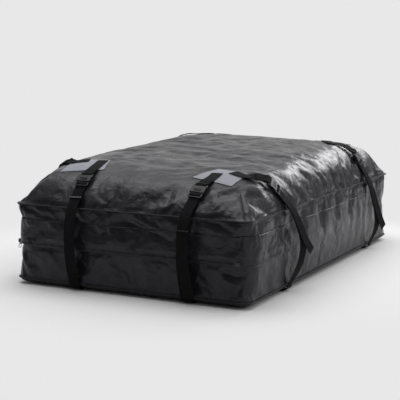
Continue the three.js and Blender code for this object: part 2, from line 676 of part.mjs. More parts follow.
function makeStrap({ name, plan, side, end }) {
  const onWall = ([along, out, height]) => {
    const [x, y] = fromCorner(plan.overEnd ? [along, -out] : [-out, along], side, end);
    return new THREE.Vector3(x, y, height);
  };
  const hanging = ([along, out, share]) => onWall([along, out, share * SEAM_HEIGHT]);

  // The buckle lies along the lid's slope, towards the first hanging point.
  const [bx, by] = fromCorner(plan.buckle, side, end);
  const mouth = onLid(bx, by, BUCKLE_STAND_OFF);
  const out = lidNormal(bx, by);
  const hang = plan.hang.map(hanging);
  const along = hang[0].clone().sub(mouth);
  along.addScaledVector(out, -along.dot(out)).normalize();
  const across = new THREE.Vector3().crossVectors(along, out);
  const local = ([a, h]) => mouth.clone().addScaledVector(along, a).addScaledVector(out, h);
  const step = (point, direction, isExact = false) => ({ point, across: direction, isExact });

  // Upper strap: from the patch to the female half, round its end bar and back onto itself
  const under = -BAR_HALF_THICKNESS - GAP - WEB_THICKNESS / 2;
  const slotMiddle = endSlotLow + END_SLOT / 2;
  const back = femaleEnd - 3;
  const lap = under + strandPitch;
  const [rx, ry] = fromCorner(plan.root, side, end);
  const [vx, vy] = fromCorner(plan.via, side, end);
  const lift = SKIN_GAP + PATCH_THICKNESS + GAP + WEB_THICKNESS / 2 + STRAP_SLACK;
  // The strap leaves the lid little by little, so that it meets the buckle's straight run from above.
  const joinBack = back - LAP_RUN_OUT - SEWN_LAP;
  const joinPoint = local([joinBack, under]);
  const joinFoot = joinPoint.clone();
  let joinLift = 0;
  for (let i = 0; i < 8; i++) {
    const normal = lidNormal(joinFoot.x, joinFoot.y);
    joinLift = joinPoint.clone().sub(onLid(joinFoot.x, joinFoot.y, 0)).dot(normal);
    joinFoot.copy(joinPoint).addScaledVector(normal, -joinLift);
  }
  const planLine = smoothLine([
    new THREE.Vector3(rx, ry, 0),
    new THREE.Vector3(vx, vy, 0),
    new THREE.Vector3(joinFoot.x, joinFoot.y, 0),
  ], UPPER_STEPS);
  const onTop = planLine.slice(0, -1).map((p, i) => {
    const share = i / UPPER_STEPS;
    const next = planLine[i + 1];
    const heading = onLid(next.x, next.y, 0).sub(onLid(p.x, p.y, 0));
    const flat = new THREE.Vector3().crossVectors(heading, lidNormal(p.x, p.y)).normalize();
    const raised = THREE.MathUtils.lerp(lift, joinLift, smoothStep(LEAVES_LID, 1, share));
    return step(onLid(p.x, p.y, raised), flat.lerp(across, smoothStep(TURNS_TO_BUCKLE, 1, share)).normalize());
  });
  const endLoop = roundCorners([
    [joinBack, under], [slotMiddle, under], [slotMiddle, -under],
    [back, -under], [back - LAP_RUN_OUT, lap], [back - SEWN_LAP, lap],
  ]);
  const upperPath = [...onTop, ...endLoop.map((p) => step(local(p), across, true))];
  addPiece(`upper_strap_${name}`, bandGeometry(upperPath), webbing);

  for (const piece of [
    addPiece(`buckle_female_${name}`, femaleGeometry(), mouldedPlastic),
    addPiece(`buckle_male_${name}`, maleGeometry(), mouldedPlastic),
  ]) placeInFrame(piece, mouth, across, along, out);

  // Lower strap: from under the hem up to the ladder, through it and down again as the tail
  const tailHeight = -MALE_THICKNESS / 2 - GAP - WEB_THICKNESS / 2;
  const loadHeight = tailHeight - strandPitch;
  const overHeight = -tailHeight;
  const innerMiddle = (innerSlot[0] + innerSlot[1]) / 2;
  const outerMiddle = (outerSlot[0] + outerSlot[1]) / 2;
  const leave = maleEnd + LADDER_SLOT;
  const wallAcross = plan.overEnd ? new THREE.Vector3(1, 0, 0) : new THREE.Vector3(0, 1, 0);
  if (wallAcross.dot(across) < 0) wallAcross.negate();
  const tuck = HEM_TUCK.map(([outward, z]) => onWall([plan.hang[plan.hang.length - 1][0], outward, z]));
  const loadCurve = new THREE.CatmullRomCurve3([local([leave, loadHeight]), ...hang, ...tuck], false, 'centripetal');
  const spans = hang.length + tuck.length;
  const acrossAt = (span) => across.clone().lerp(wallAcross, smoothStep(0, TURNED_BY_SPAN, span)).normalize();

  // The tail lies along the load strand as far as the second hanging point, a little off it all the way.
  const frameAt = (span) => {
    const tangent = loadCurve.getTangent(span / spans);
    const side = acrossAt(span);
    side.addScaledVector(tangent, -side.dot(tangent)).normalize();
    return { point: loadCurve.getPoint(span / spans), tangent, side, face: side.clone().cross(tangent) };
  };
  const tailSign = Math.sign(frameAt(0).face.dot(out));
  const besideLoad = (span, portion = 1) => {
    const { point, face } = frameAt(span);
    return point.addScaledVector(face, tailSign * portion * strandPitch * (1 + TAIL_EASE * Math.min(1, span)));
  };
  const together = Array.from({ length: TOGETHER_STEPS + 1 }, (_, i) => i * LAID_TOGETHER / TOGETHER_STEPS);
  const apart = Array.from({ length: spans - LAID_TOGETHER }, (_, i) => LAID_TOGETHER + 1 + i);
  const load = [...together, ...apart].map((span) => step(frameAt(span).point, acrossAt(span))).reverse();
  const tailEnd = smoothLine([besideLoad(LAID_TOGETHER), ...plan.tail.map(hanging)], TAIL_STEPS).slice(1);
  const tail = [
    step(local([leave, tailHeight]), across),
    ...together.slice(1).map((span) => step(besideLoad(span), acrossAt(span))),
    ...tailEnd.map((point) => step(point, wallAcross)),
  ];
  const threading = roundCorners([
    [leave, loadHeight], [innerMiddle, loadHeight], [innerMiddle, overHeight],
    [outerMiddle, overHeight], [outerMiddle, tailHeight], [leave, tailHeight],
  ]).slice(1, -1);
  const lowerPath = [...load, ...threading.map((p) => step(local(p), across, true)), ...tail];
  addPiece(`lower_strap_${name}`, bandGeometry(lowerPath), webbing);

  if (plan.keeperAt) {
    const { tangent, side: keeperAcross } = frameAt(plan.keeperAt);
    const centre = besideLoad(plan.keeperAt, 0.5);
    const keeperOut = new THREE.Vector3().crossVectors(keeperAcross, tangent);
    const keeper = addPiece(`web_keeper_${name}`, keeperGeometry(), mouldedPlastic);
    placeInFrame(keeper, centre, keeperAcross, tangent, keeperOut);
  }
}

for (const [name, side, end] of [
  ['front_left', -1, -1], ['front_right', 1, -1], ['rear_left', -1, 1], ['rear_right', 1, 1],
]) {
  addPiece(`patch_${name}`, patchGeometry(side, end), patchFabric);
}
STRAPS.forEach(makeStrap);

export default bag;
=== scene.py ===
"""A packed soft roof cargo bag, dressed round its CAD frame. Shapes are worked out in millimetres in the
CAD's own frame, with X across the bag, Y along it and Z up, and each mesh is brought to metres when it
is put together."""
import math

import bmesh
import bpy
import numpy as np
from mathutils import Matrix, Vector
from mathutils.bvhtree import BVHTree


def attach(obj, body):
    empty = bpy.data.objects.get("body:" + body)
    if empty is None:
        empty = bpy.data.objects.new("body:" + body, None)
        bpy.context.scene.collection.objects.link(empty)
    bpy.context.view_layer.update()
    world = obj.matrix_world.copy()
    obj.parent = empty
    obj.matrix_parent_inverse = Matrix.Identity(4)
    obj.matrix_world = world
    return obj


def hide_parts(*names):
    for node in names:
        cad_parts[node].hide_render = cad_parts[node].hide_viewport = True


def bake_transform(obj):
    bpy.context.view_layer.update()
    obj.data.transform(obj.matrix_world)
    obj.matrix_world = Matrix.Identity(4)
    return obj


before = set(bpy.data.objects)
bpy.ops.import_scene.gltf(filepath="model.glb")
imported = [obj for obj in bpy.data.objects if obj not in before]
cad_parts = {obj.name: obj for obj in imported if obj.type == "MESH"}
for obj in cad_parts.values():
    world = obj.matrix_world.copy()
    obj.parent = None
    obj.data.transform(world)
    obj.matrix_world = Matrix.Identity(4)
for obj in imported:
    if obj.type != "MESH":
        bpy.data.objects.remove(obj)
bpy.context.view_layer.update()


# The camera stands low, off the bag's near right corner, with a long lens. Its turn, rise and distance are
# those at which the bag's corners fall where they do in the picture. Its lengths are in metres.
VIEW_TURN = math.radians(27.04)
VIEW_RISE = math.radians(8.355)
VIEW_DISTANCE = 3.960
VIEW_SIDEWAYS = -0.0742
VIEW_HEIGHT = 0.2201
LENS_MM = 96.228

view_across = Vector((math.cos(VIEW_TURN), math.sin(VIEW_TURN), 0))
view_back = Vector((
    math.sin(VIEW_TURN) * math.cos(VIEW_RISE),
    -math.cos(VIEW_TURN) * math.cos(VIEW_RISE),
    math.sin(VIEW_RISE),
))
camera = bpy.data.objects.new("camera", bpy.data.cameras.new("camera"))
camera.data.lens = LENS_MM
camera.location = view_across * VIEW_SIDEWAYS + Vector((0, 0, VIEW_HEIGHT)) + view_back * VIEW_DISTANCE
camera.rotation_euler = (-view_back).to_track_quat("-Z", "Y").to_euler()
bpy.context.scene.collection.objects.link(camera)
bpy.context.scene.camera = camera
bpy.context.scene.view_settings.view_transform = "Standard"


# The studio: a pale room that is bright behind the bag and to its left and dimmer in front of it and off its
# rear right, and a pale floor that keeps the bag's shadow and fades into the room's tone further out.
ROOM_TONE = 0.807
ROOM_LIGHT = 0.93
ROOM_DIM_END, ROOM_DIM_SIDE = 0.12, 0.36
FLOOR_TONE = 0.74
FLOOR_HALF = 7.0
FLOOR_FADE_START, FLOOR_FADE_END = 0.84, 1.22


def node_graph(owner):
    """Empties a material's or world's node tree and returns a maker of linked nodes."""
    owner.use_nodes = True
    owner.node_tree.nodes.clear()

    def add(kind, inputs=None, **settings):
        node = owner.node_tree.nodes.new(kind)
        for key, value in settings.items():
            setattr(node, key, value)
        for key, value in (inputs or {}).items():
            if isinstance(value, bpy.types.NodeSocket):
                owner.node_tree.links.new(value, node.inputs[key])
            else:
                node.inputs[key].default_value = value
        return node

    return add


def maths(add, operation, first, second=0.5, third=0.5):
    """One Math node's result."""
    return add("ShaderNodeMath", {0: first, 1: second, 2: third}, operation=operation).outputs[0]


def mixed(add, factor, first, second):
    """Two colours mixed by a factor."""
    return add("ShaderNodeMix", {0: factor, 6: first, 7: second}, data_type="RGBA").outputs[2]


def noise(add, place, scale, detail, **more):
    """Cloudy noise, from 0 to 1."""
    inputs = {"Vector": place, "Scale": scale, "Detail": detail, **more}
    return add("ShaderNodeTexNoise", inputs).outputs["Fac"]


def bumped(add, height, strength, distance, **under):
    """A surface direction bent by a height."""
    return add("ShaderNodeBump", {
        "Strength": strength, "Distance": distance, "Height": height, **under,
    }).outputs[0]


def new_material(name):
    """A material with an empty node tree, its maker of nodes, and the place on the object."""
    material = bpy.data.materials.new(name)
    add = node_graph(material)
    return material, add, add("ShaderNodeTexCoord").outputs["Object"]


def show(add, shader):
    """Joins a shader to the material's output."""
    add("ShaderNodeOutputMaterial", {"Surface": shader.outputs[0]})


def stepped(add, value, low, high, to_low=0.0, to_high=1.0):
    """A smooth step of a value between two limits."""
    return add("ShaderNodeMapRange", {
        "Value": value, "From Min": low, "From Max": high, "To Min": to_low, "To Max": to_high,
    }, interpolation_type="SMOOTHSTEP").outputs["Result"]


def either_ray(add):
    """1 for rays from the camera, and 1 for rays mirrored or let through by a surface."""
    light_path = add("ShaderNodeLightPath").outputs
    mirrored = maths(add, "MAXIMUM", light_path["Is Glossy Ray"], light_path["Is Transmission Ray"])
    return light_path["Is Camera Ray"], mirrored


room = bpy.data.worlds.new("studio_room")
bpy.context.scene.world = room
add = node_graph(room)
seen, mirrored = either_ray(add)
direction = add("ShaderNodeSeparateXYZ", {0: add("ShaderNodeTexCoord").outputs["Generated"]}).outputs
sideways = maths(add, "MULTIPLY_ADD", direction["X"], 0.55, direction["Y"])
glow = maths(add, "MULTIPLY", stepped(add, sideways, -0.75, 0.35, ROOM_DIM_END, 1.0),
             stepped(add, sideways, 0.72, 1.05, 1.0, ROOM_DIM_SIDE))
level = add("ShaderNodeMix", {0: mirrored, 2: ROOM_LIGHT, 3: ROOM_TONE}, data_type="FLOAT").outputs[0]
strength = add("ShaderNodeMix", {
    0: seen, 2: maths(add, "MULTIPLY", level, glow), 3: ROOM_TONE,
}, data_type="FLOAT").outputs[0]
background = add("ShaderNodeBackground", {"Color": (1, 1, 1, 1), "Strength": strength})
add("ShaderNodeOutputWorld", {"Surface": background.outputs[0]})


FACING_BACK = [0, 3, 2, 1]


def quad_mesh(name, points, quads, scale=0.001):
    """A mesh of four-sided faces from arrays of points and corner indices, scaled to metres."""
    mesh = bpy.data.meshes.new(name)
    points = np.asarray(points, float).reshape(-1, 3) * scale
    quads = np.asarray(quads, np.int32).reshape(-1, 4)
    mesh.vertices.add(len(points))
    mesh.vertices.foreach_set("co", points.astype(np.float32).ravel())
    mesh.loops.add(quads.size)
    mesh.loops.foreach_set("vertex_index", quads.ravel())
    mesh.polygons.add(len(quads))
    mesh.polygons.foreach_set("loop_start", np.arange(0, quads.size, 4, dtype=np.int32))
    mesh.polygons.foreach_set("use_smooth", np.ones(len(quads), bool))
    mesh.update(calc_edges=True)
    mesh.validate()
    return mesh


def ring_quads(low, high):
    """The faces between rings of corner indices and the rings that follow them."""
    return np.stack([low, np.roll(low, -1, 1), np.roll(high, -1, 1), high], -1).reshape(-1, 4)


def grid_quads(index):
    """The faces between the rows and columns of a grid of corner indices."""
    return np.stack([index[:-1, :-1], index[1:, :-1], index[1:, 1:], index[:-1, 1:]], -1).reshape(-1, 4)


def add_object(name, mesh, material):
    """Stands a mesh in the scene, at the origin, in one material."""
    made = bpy.data.objects.new(name, mesh)
    bpy.context.scene.collection.objects.link(made)
    mesh.materials.clear()
    mesh.materials.append(material)
    return made


def dress(piece, node, body="bag"):
    """Makes a piece ride on a body in a node's stead."""
    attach(piece, body)
    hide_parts(node)


floor_material, add, place = new_material("studio_floor")
seen, mirrored = either_ray(add)
away = add("ShaderNodeVectorMath", {0: place}, operation="LENGTH").outputs["Value"]
fading = maths(add, "MULTIPLY", seen, stepped(add, away, FLOOR_FADE_START, FLOOR_FADE_END))
matt = add("ShaderNodeBsdfDiffuse", {"Color": (FLOOR_TONE, FLOOR_TONE, FLOOR_TONE, 1)})
pale = add("ShaderNodeEmission", {"Color": (ROOM_TONE, ROOM_TONE, ROOM_TONE, 1), "Strength": 1.0})
show(add, add("ShaderNodeMixShader", {0: fading, 1: matt.outputs[0], 2: pale.outputs[0]}))
floor_corners = [(-1, -1, 0), (1, -1, 0), (1, 1, 0), (-1, 1, 0)]
floor_mesh = quad_mesh("studio_floor", floor_corners, [[0, 1, 2, 3]], FLOOR_HALF)
floor = add_object("studio_floor", floor_mesh, floor_material)

# Name, place, the point aimed at, size and watts of each lamp
SOFTBOXES = [
    ("rear_softbox", (0.8, 3.6, 2.0), (0, 0, 0.2), (2.6, 1.3), 66),
    ("right_softbox", (3.3, 1.7, 1.6), (0, 0.2, 0.2), (2.0, 1.4), 10),
    ("top_softbox", (-0.6, -0.1, 3.4), (-0.1, 0, 0.2), (3.0, 3.0), 74),
    ("left_fill", (-3.2, -2.4, 2.6), (0, 0, 0.2), (2.4, 2.4), 8),
]
for name, place, aim, size, watts in SOFTBOXES:
    lamp = bpy.data.lights.new(name, "AREA")
    lamp.shape = "RECTANGLE"
    lamp.size, lamp.size_y = size
    lamp.energy = watts
    stand = bpy.data.objects.new(name, lamp)
    stand.location = place
    stand.rotation_euler = (Vector(aim) - stand.location).to_track_quat("-Z", "Y").to_euler()
    bpy.context.scene.collection.objects.link(stand)


# Bag body: lid, walls and base of coated polyester, zipped shut and packed full. The cloth is drawn as one
# shell over the load, then let go slack and settled as cloth between its seams, so that it gathers there.
BAG_WIDTH, BAG_LENGTH = 854, 1360
SEAM_HEIGHT, CROWN_RISE = 270, 140
SIDE_SHOULDER, END_SHOULDER, CROWN_ROUNDING = 10.9, 7.5, 0.863
SIDE_LEAN, END_LEAN = -0.07, 0.132
SIDE_BULGE, BULGE_SHARE = 14, 0.8
HEM_HEIGHT = 22
FLAP_TOP, FLAP_BOTTOM, FLAP_RETURN = 222, 136, 315
FOLD_DEPTH, FOLD_PITCH = 6, 165
SEAM_CORNER, MIDDLE_CORNER = 32, 66
CLOTH_STEP = 6.8
HALF_WIDTH, HALF_LENGTH = BAG_WIDTH / 2, BAG_LENGTH / 2


def unit(rows):
    """Each row brought to length 1."""
    return rows / np.linalg.norm(rows, axis=-1, keepdims=True)


def run_along(path):
    """How far each point of a path lies along it."""
    return np.concatenate([[0], np.cumsum(np.linalg.norm(np.diff(path, axis=0), axis=1))])


def read_rows(places, run, rows):
    """Rows of numbers read off between their places along a run."""
    return np.stack([np.interp(places, run, column) for column in rows.T], -1)


def smooth_step(low, high, value):
    """0 below low, 1 above high, and an S-shaped rise between them."""
    t = np.clip((value - low) / (high - low), 0, 1)
    return t * t * (3 - 2 * t)


def lid_height(x, y):
    """The lid is level in the middle and falls at its edges: 1 less a high power of the share of the way
    to the side, times the same for the end, raised to a power that rounds the crown."""
    u, v = x / HALF_WIDTH, y / HALF_LENGTH
    shoulder = np.clip(1 - np.abs(u) ** SIDE_SHOULDER, 0, 1) * np.clip(1 - np.abs(v) ** END_SHOULDER, 0, 1)
    return SEAM_HEIGHT + CROWN_RISE * shoulder ** CROWN_ROUNDING * (1 + SIDE_LEAN * u + END_LEAN * v)


def lid_normal(x, y):
    """The lid's outward direction, from its height 1 mm to each side."""
    slope_x = (lid_height(x + 1, y) - lid_height(x - 1, y)) / 2
    slope_y = (lid_height(x, y + 1) - lid_height(x, y - 1)) / 2
    return unit(np.stack([-slope_x, -slope_y, np.ones_like(slope_x)], -1))


def on_lid(x, y, lift):
    """A point of the lid, raised from it."""
    x, y = np.asarray(x, float), np.asarray(y, float)
    return np.stack([x, y, lid_height(x, y)], -1) + lid_normal(x, y) * lift


def even_on_cloth(profile, half):
    """Places across the lid that are evenly spaced along the cloth, read back from its summed length."""
    fine = np.linspace(-half, half, 8001)
    length = np.concatenate([[0], np.cumsum(np.hypot(np.diff(fine), np.diff(profile(fine))))])
    cells = 2 * round(length[-1] / CLOTH_STEP / 2)
    return np.interp(np.linspace(0, length[-1], cells + 1), length, fine)


def round_corners(x, y, half_x, half_y, radius):
    """Rounds a rectangle in plan. In a corner's square, a point's larger distance into the square becomes
    its distance from the arc's centre."""
    into_x = np.maximum(np.abs(x) - (half_x - radius), 0)
    into_y = np.maximum(np.abs(y) - (half_y - radius), 0)
    reach = np.hypot(into_x, into_y)
    in_corner = (into_x > 0) & (into_y > 0)
    scale = np.where(in_corner, np.maximum(into_x, into_y) / np.maximum(reach, 1e-9), 1)
    round_x = np.sign(x) * (np.minimum(np.abs(x), half_x - radius) + into_x * scale)
    round_y = np.sign(y) * (np.minimum(np.abs(y), half_y - radius) + into_y * scale)
    return round_x, round_y


lid_x = even_on_cloth(lambda x: lid_height(x, 0 * x), HALF_WIDTH)
lid_y = even_on_cloth(lambda y: lid_height(0 * y, y), HALF_LENGTH)
columns, rows = len(lid_x), len(lid_y)
flat_x, flat_y = (a.T for a in np.meshgrid(lid_x, lid_y))
round_x, round_y = round_corners(flat_x, flat_y, HALF_WIDTH, HALF_LENGTH, SEAM_CORNER)
lid_points = np.stack([round_x, round_y, lid_height(flat_x, flat_y)], -1)

rim = np.concatenate([
    np.stack([np.zeros(rows - 1), np.arange(rows - 1, 0, -1)], -1),
    np.stack([np.arange(columns - 1), np.zeros(columns - 1)], -1),
    np.stack([np.full(rows - 1, columns - 1), np.arange(rows - 1)], -1),
    np.stack([np.arange(columns - 1, 0, -1), np.full(columns - 1, rows - 1)], -1),
]).astype(int)
rim_x, rim_y = lid_x[rim[:, 0]], lid_y[rim[:, 1]]
rim_count = len(rim)


def wall_out(x, y, z):
    """How far the walls stand out: the long sides belly between their ends, and gather below the seam."""
    long_side = np.abs(x) >= HALF_WIDTH - 1e-6
    share = np.minimum(np.where(long_side, np.abs(y) / HALF_LENGTH, np.abs(x) / HALF_WIDTH) / BULGE_SHARE, 1)
    middle = (1 - share ** 2) ** 2
    rise = np.clip((z - HEM_HEIGHT) / (SEAM_HEIGHT - HEM_HEIGHT), 0, 1)
    belly = np.where(long_side, SIDE_BULGE, 3) * 4 * rise * (1 - rise) * middle
    along = np.where(long_side, y, x)
    phase = np.where(long_side, 0.4, 2.0)
    fold = 0.5 - 0.5 * np.cos(2 * np.pi * along / FOLD_PITCH + phase + np.sin(along / 210 + phase))
    gather = smooth_step(FLAP_BOTTOM + 30, FLAP_TOP, z) * (1 - smooth_step(SEAM_HEIGHT - 30, SEAM_HEIGHT, z))
    return belly - FOLD_DEPTH * gather * fold * middle * np.where(long_side, 1, 0.6)


def ring_at(z, inset=0.0):
    """The bag's outline at a height, with each point moved straight out from the wall, or the same drawn in
    by an inset under the base, and the level outward direction at each of its points."""
    half_x, half_y = HALF_WIDTH - inset, HALF_LENGTH - inset
    rise = np.clip((z - HEM_HEIGHT) / (SEAM_HEIGHT - HEM_HEIGHT), 0, 1)
    corner = SEAM_CORNER + (MIDDLE_CORNER - SEAM_CORNER) * 4 * rise * (1 - rise)
    corner = max(corner - inset, min(6, half_x))
    x, y = rim_x * half_x / HALF_WIDTH, rim_y * half_y / HALF_LENGTH
    round_x, round_y = round_corners(x, y, half_x, half_y, corner)
    centre_x = np.clip(round_x, -(half_x - corner), half_x - corner)
    centre_y = np.clip(round_y, -(half_y - corner), half_y - corner)
    normal = np.stack([round_x - centre_x, round_y - centre_y], -1)
    normal /= np.maximum(np.linalg.norm(normal, axis=-1, keepdims=True), 1e-9)
    reach = 0 if inset else wall_out(rim_x, rim_y, z)
    plan = np.stack([round_x, round_y], -1) + normal * np.reshape(reach, (-1, 1))
    return [np.concatenate([flat, np.full((len(flat), 1), height)], -1)
            for flat, height in ((plan, z), (normal, 0.0))]


wall_levels = np.linspace(SEAM_HEIGHT, HEM_HEIGHT, round((SEAM_HEIGHT - HEM_HEIGHT) / CLOTH_STEP) + 1)[1:]
hem_turn = [(17, 1.2), (12.5, 5), (8, 13), (4, 24), (1.2, 37), (0, 50)]
base_insets = [95, 170, 270, 360, HALF_WIDTH]
shell_rings = [ring_at(z)[0] for z in wall_levels]
shell_rings += [ring_at(z, inset=inset)[0] for z, inset in hem_turn]
shell_rings += [ring_at(0, inset=inset)[0] for inset in base_insets]

lid_index = np.arange(columns * rows).reshape(columns, rows)
ring_index = np.concatenate([
    lid_index[rim[:, 0], rim[:, 1]][None],
    columns * rows + np.arange(len(shell_rings) * rim_count).reshape(-1, rim_count),
])
shell_points = np.concatenate([lid_points.reshape(-1, 3), np.concatenate(shell_rings)])
lid_quads = grid_quads(lid_index)
wall_quads = ring_quads(ring_index[:-1], ring_index[1:])[:, FACING_BACK]
shell_quads = np.concatenate([lid_quads, wall_quads])


def point_normals(points, quads):
    """Each point's outward direction: the cross products of its faces' diagonals, summed."""
    a, b, c, d = (points[quads[:, k]] for k in range(4))
    face = np.cross(c - a, d - b)
    total = np.zeros_like(points)
    for k in range(4):
        np.add.at(total, quads[:, k], face)
    return total / np.maximum(np.linalg.norm(total, axis=1, keepdims=True), 1e-9)


shell_normals = point_normals(shell_points, shell_quads)
x, y, z = shell_points.T


def crease(points, ends, width, depth):
    """A fold in the cloth: a Gaussian ridge, or a valley where depth is negative, across the line between
    two places, that runs out smoothly at both ends."""
    start, end = (np.asarray(p, float) for p in ends)
    line = end - start
    length = np.linalg.norm(line)
    along = (points - start) @ line / length ** 2
    nearest = start + np.clip(along, 0, 1)[:, None] * line
    apart = np.linalg.norm(points - nearest, axis=1)
    taper = np.clip(np.sin(np.pi * np.clip(along, 0, 1)), 0, 1) ** 0.6
    return depth * taper * np.exp(-(apart / width) ** 2)


# The chief folds: start, end, half width and height of each, on the front, the near corner and the right
# side, and the same again, turned half round, on the sides that face away
FOLDS = [
    ((-385, -680, 257), (-325, -680, 246), 8, -5), ((-325, -680, 248), (-262, -680, 224), 9, -6),
    ((-352, -680, 262), (-290, -680, 238), 8, 4), ((-203, -680, 249), (-150, -680, 218), 10, -6),
    ((-150, -680, 220), (-90, -680, 186), 10, -6), ((-180, -680, 252), (-118, -680, 214), 9, 5),
    ((-15, -680, 246), (89, -680, 221), 11, -6), ((89, -680, 223), (176, -680, 186), 12, -6),
    ((20, -680, 254), (120, -680, 226), 9, 5), ((150, -680, 262), (128, -680, 232), 7, 4),
    ((262, -680, 260), (330, -680, 222), 10, 6), ((300, -680, 262), (376, -680, 236), 9, -5),
    ((332, -680, 118), (384, -680, 96), 9, -9), ((378, -680, 96), (424, -676, 110), 9, -9),
    ((340, -680, 92), (400, -680, 72), 9, 7), ((384, -680, 128), (424, -674, 146), 8, 6),
    ((394, -680, 48), (422, -676, 26), 8, 7), ((250, -680, 92), (318, -680, 40), 14, -6),
    ((-424, -672, 128), (-386, -680, 66), 10, 7), ((-300, -680, 120), (-240, -680, 52), 16, 4),
    ((-60, -680, 118), (40, -680, 60), 20, -4), ((366, -253, 376), (412, -306, 316), 12, 8),
    ((412, -300, 322), (430, -303, 250), 11, 8), ((398, 86, 345), (420, 138, 300), 12, 7),
    ((418, 130, 306), (430, 192, 256), 11, 7), ((388, -120, 356), (424, -160, 296), 13, -6),
    ((392, -30, 352), (424, -2, 294), 12, 6), ((396, 240, 346), (425, 282, 290), 12, -5),
    ((398, 330, 344), (426, 352, 286), 10, 6), ((352, -470, 384), (424, -500, 292), 13, -6),
    ((372, -410, 372), (425, -420, 292), 12, 6), ((300, -596, 360), (392, -668, 300), 14, -3),
    ((238, -560, 385), (318, -664, 300), 16, 3), ((120, -590, 372), (152, -668, 300), 16, -4),
    ((-140, -590, 372), (-170, -668, 300), 16, 4), ((-330, -590, 352), (-392, -664, 296), 13, 6),
    ((60, -120, 405), (380, -330, 362), 16, 6), ((150, 60, 408), (392, -150, 352), 14, 6),
    ((40, 180, 410), (390, 20, 358), 16, -6), ((120, 300, 412), (396, 180, 352), 14, 6),
    ((-80, -300, 400), (250, -470, 385), 18, 5), ((200, -220, 402), (396, -380, 342), 13, -6),
    ((-300, 60, 410), (40, -60, 408), 20, 4), ((-200, 260, 412), (180, 120, 412), 20, -4),
    ((-260, -360, 398), (-20, -520, 376), 18, 4), ((-40, 420, 412), (300, 300, 410), 18, 4),
]
fold_rise = np.zeros(len(shell_points))
for start, end, width, height in FOLDS:
    for turned in (1, -1):
        ends = [np.array(q) * (turned, turned, 1) for q in (start, end)]
        fold_rise += crease(shell_points, ends, width, height)
# A valley along each of the lid's four corner darts
CORNERS = [("front_left", -1, -1), ("front_right", 1, -1), ("rear_left", -1, 1), ("rear_right", 1, 1)]
DART_VALLEY, DART_VALLEY_WIDTH, DART_VALLEY_DEPTH = ((350, 578, 350), (421, 675, 271)), 8, 7
for _, side, end in CORNERS:
    ends = [np.array(q) * (side, end, 1) for q in DART_VALLEY]
    fold_rise += crease(shell_points, ends, DART_VALLEY_WIDTH, -DART_VALLEY_DEPTH)
# The sewing draws the cloth in along the top seam
SEAM_DRAW, SEAM_DRAW_WIDTH = 4, 11
fold_rise -= SEAM_DRAW * np.exp(-((z - SEAM_HEIGHT) / SEAM_DRAW_WIDTH) ** 2)
# Short upright gathers run down from the top seam, and up from it on to the lid, all the way round
GATHERS, GATHER_WIDTH, GATHER_START = 150, 6.5, np.array([0, 0, 4])
steady = np.random.default_rng(11)
gather_at = np.sort(steady.choice(rim_count, GATHERS, replace=False))
seam_ring, seam_normal = ring_at(SEAM_HEIGHT)
drops, leans = steady.uniform(30, 105, GATHERS), steady.normal(0, 14, GATHERS)
for place, drop, lean, rise in zip(gather_at, drops, leans, steady.uniform(-3.2, 3.4, GATHERS)):
    here = seam_ring[place]
    beside = np.array([-seam_normal[place][1], seam_normal[place][0], 0])
    low = here + beside * lean - (0, 0, drop)
    fold_rise += crease(shell_points, (here + GATHER_START, low), GATHER_WIDTH, rise)
    inward = -seam_normal[place] * drop * 0.55
    high = here + inward + beside * lean * 0.6
    high[2] = lid_height(high[0], high[1])
    fold_rise += crease(shell_points, (here - GATHER_START, high), GATHER_WIDTH, -rise * 0.8)

# Coated polyester: near-black, satin, with a fine plain weave that shows through the coating and soft
# handling creases. Weave and creases are bump; the tone and the gloss wander a little over the cloth.
FABRIC_DARK, FABRIC_LIGHT = (0.0070, 0.0062, 0.0080, 1), (0.0118, 0.0104, 0.0136, 1)
WEAVE_PER_METRE = 560


def weave_height(add, place, per_metre):
    """Threads along all three axes, so that two sets cross on any wall: three rows of bands, added."""
    total = None
    for axis in ("X", "Y", "Z"):
        bands = add("ShaderNodeTexWave", {"Vector": place, "Scale": per_metre / 20},
                    wave_type="BANDS", bands_direction=axis, wave_profile="SIN").outputs["Fac"]
        total = bands if total is None else maths(add, "ADD", total, bands)
    return total


def coated_cloth(name, dark, light, rough_low, rough_high, crinkle):
    """A coated cloth's material: weave, creases, and slow changes of tone and gloss. The creases are the
    edges of bent cells, where a slow noise lets them show, over a ripple and a fine crinkle."""
    material, add, place = new_material(name)
    tone = mixed(add, noise(add, place, 5.5, 4, Roughness=0.6), dark, light)
    gloss = stepped(add, noise(add, place, 23, 3), 0.3, 0.7, rough_low, rough_high)
    bent = add("ShaderNodeTexNoise", {"Vector": place, "Scale": 9, "Detail": 2})
    shifted = add("ShaderNodeVectorMath", {0: bent.outputs["Color"], 1: (0.10, 0.10, 0.10), 2: place},
                  operation="MULTIPLY_ADD").outputs[0]
    cells = add("ShaderNodeTexVoronoi", {"Vector": shifted, "Scale": 13, "Randomness": 1},
                feature="DISTANCE_TO_EDGE").outputs["Distance"]
    ridge = stepped(add, cells, 0.0, 0.30, 0.55, 0.0)
    here = stepped(add, noise(add, place, 6, 1), 0.42, 0.62)
    ripple = noise(add, place, 26, 4, Roughness=0.5, Distortion=0.9)
    soft = maths(add, "MULTIPLY_ADD", ridge, here, ripple)
    soft = maths(add, "MULTIPLY_ADD", noise(add, shifted, 64, 3, Distortion=1.2), 0.16, soft)
    creased = bumped(add, soft, 1.0, crinkle)
    woven = bumped(add, weave_height(add, place, WEAVE_PER_METRE), 0.35, 0.00012, Normal=creased)
    show(add, add("ShaderNodeBsdfPrincipled", {
        "Base Color": tone, "Roughness": gloss, "IOR": 1.37, "Specular Tint": (0.92, 0.91, 1, 1),
        "Normal": woven,
    }))
    return material


bag_cloth = coated_cloth("coated_polyester", FABRIC_DARK, FABRIC_LIGHT, 0.27, 0.40, 0.0034)


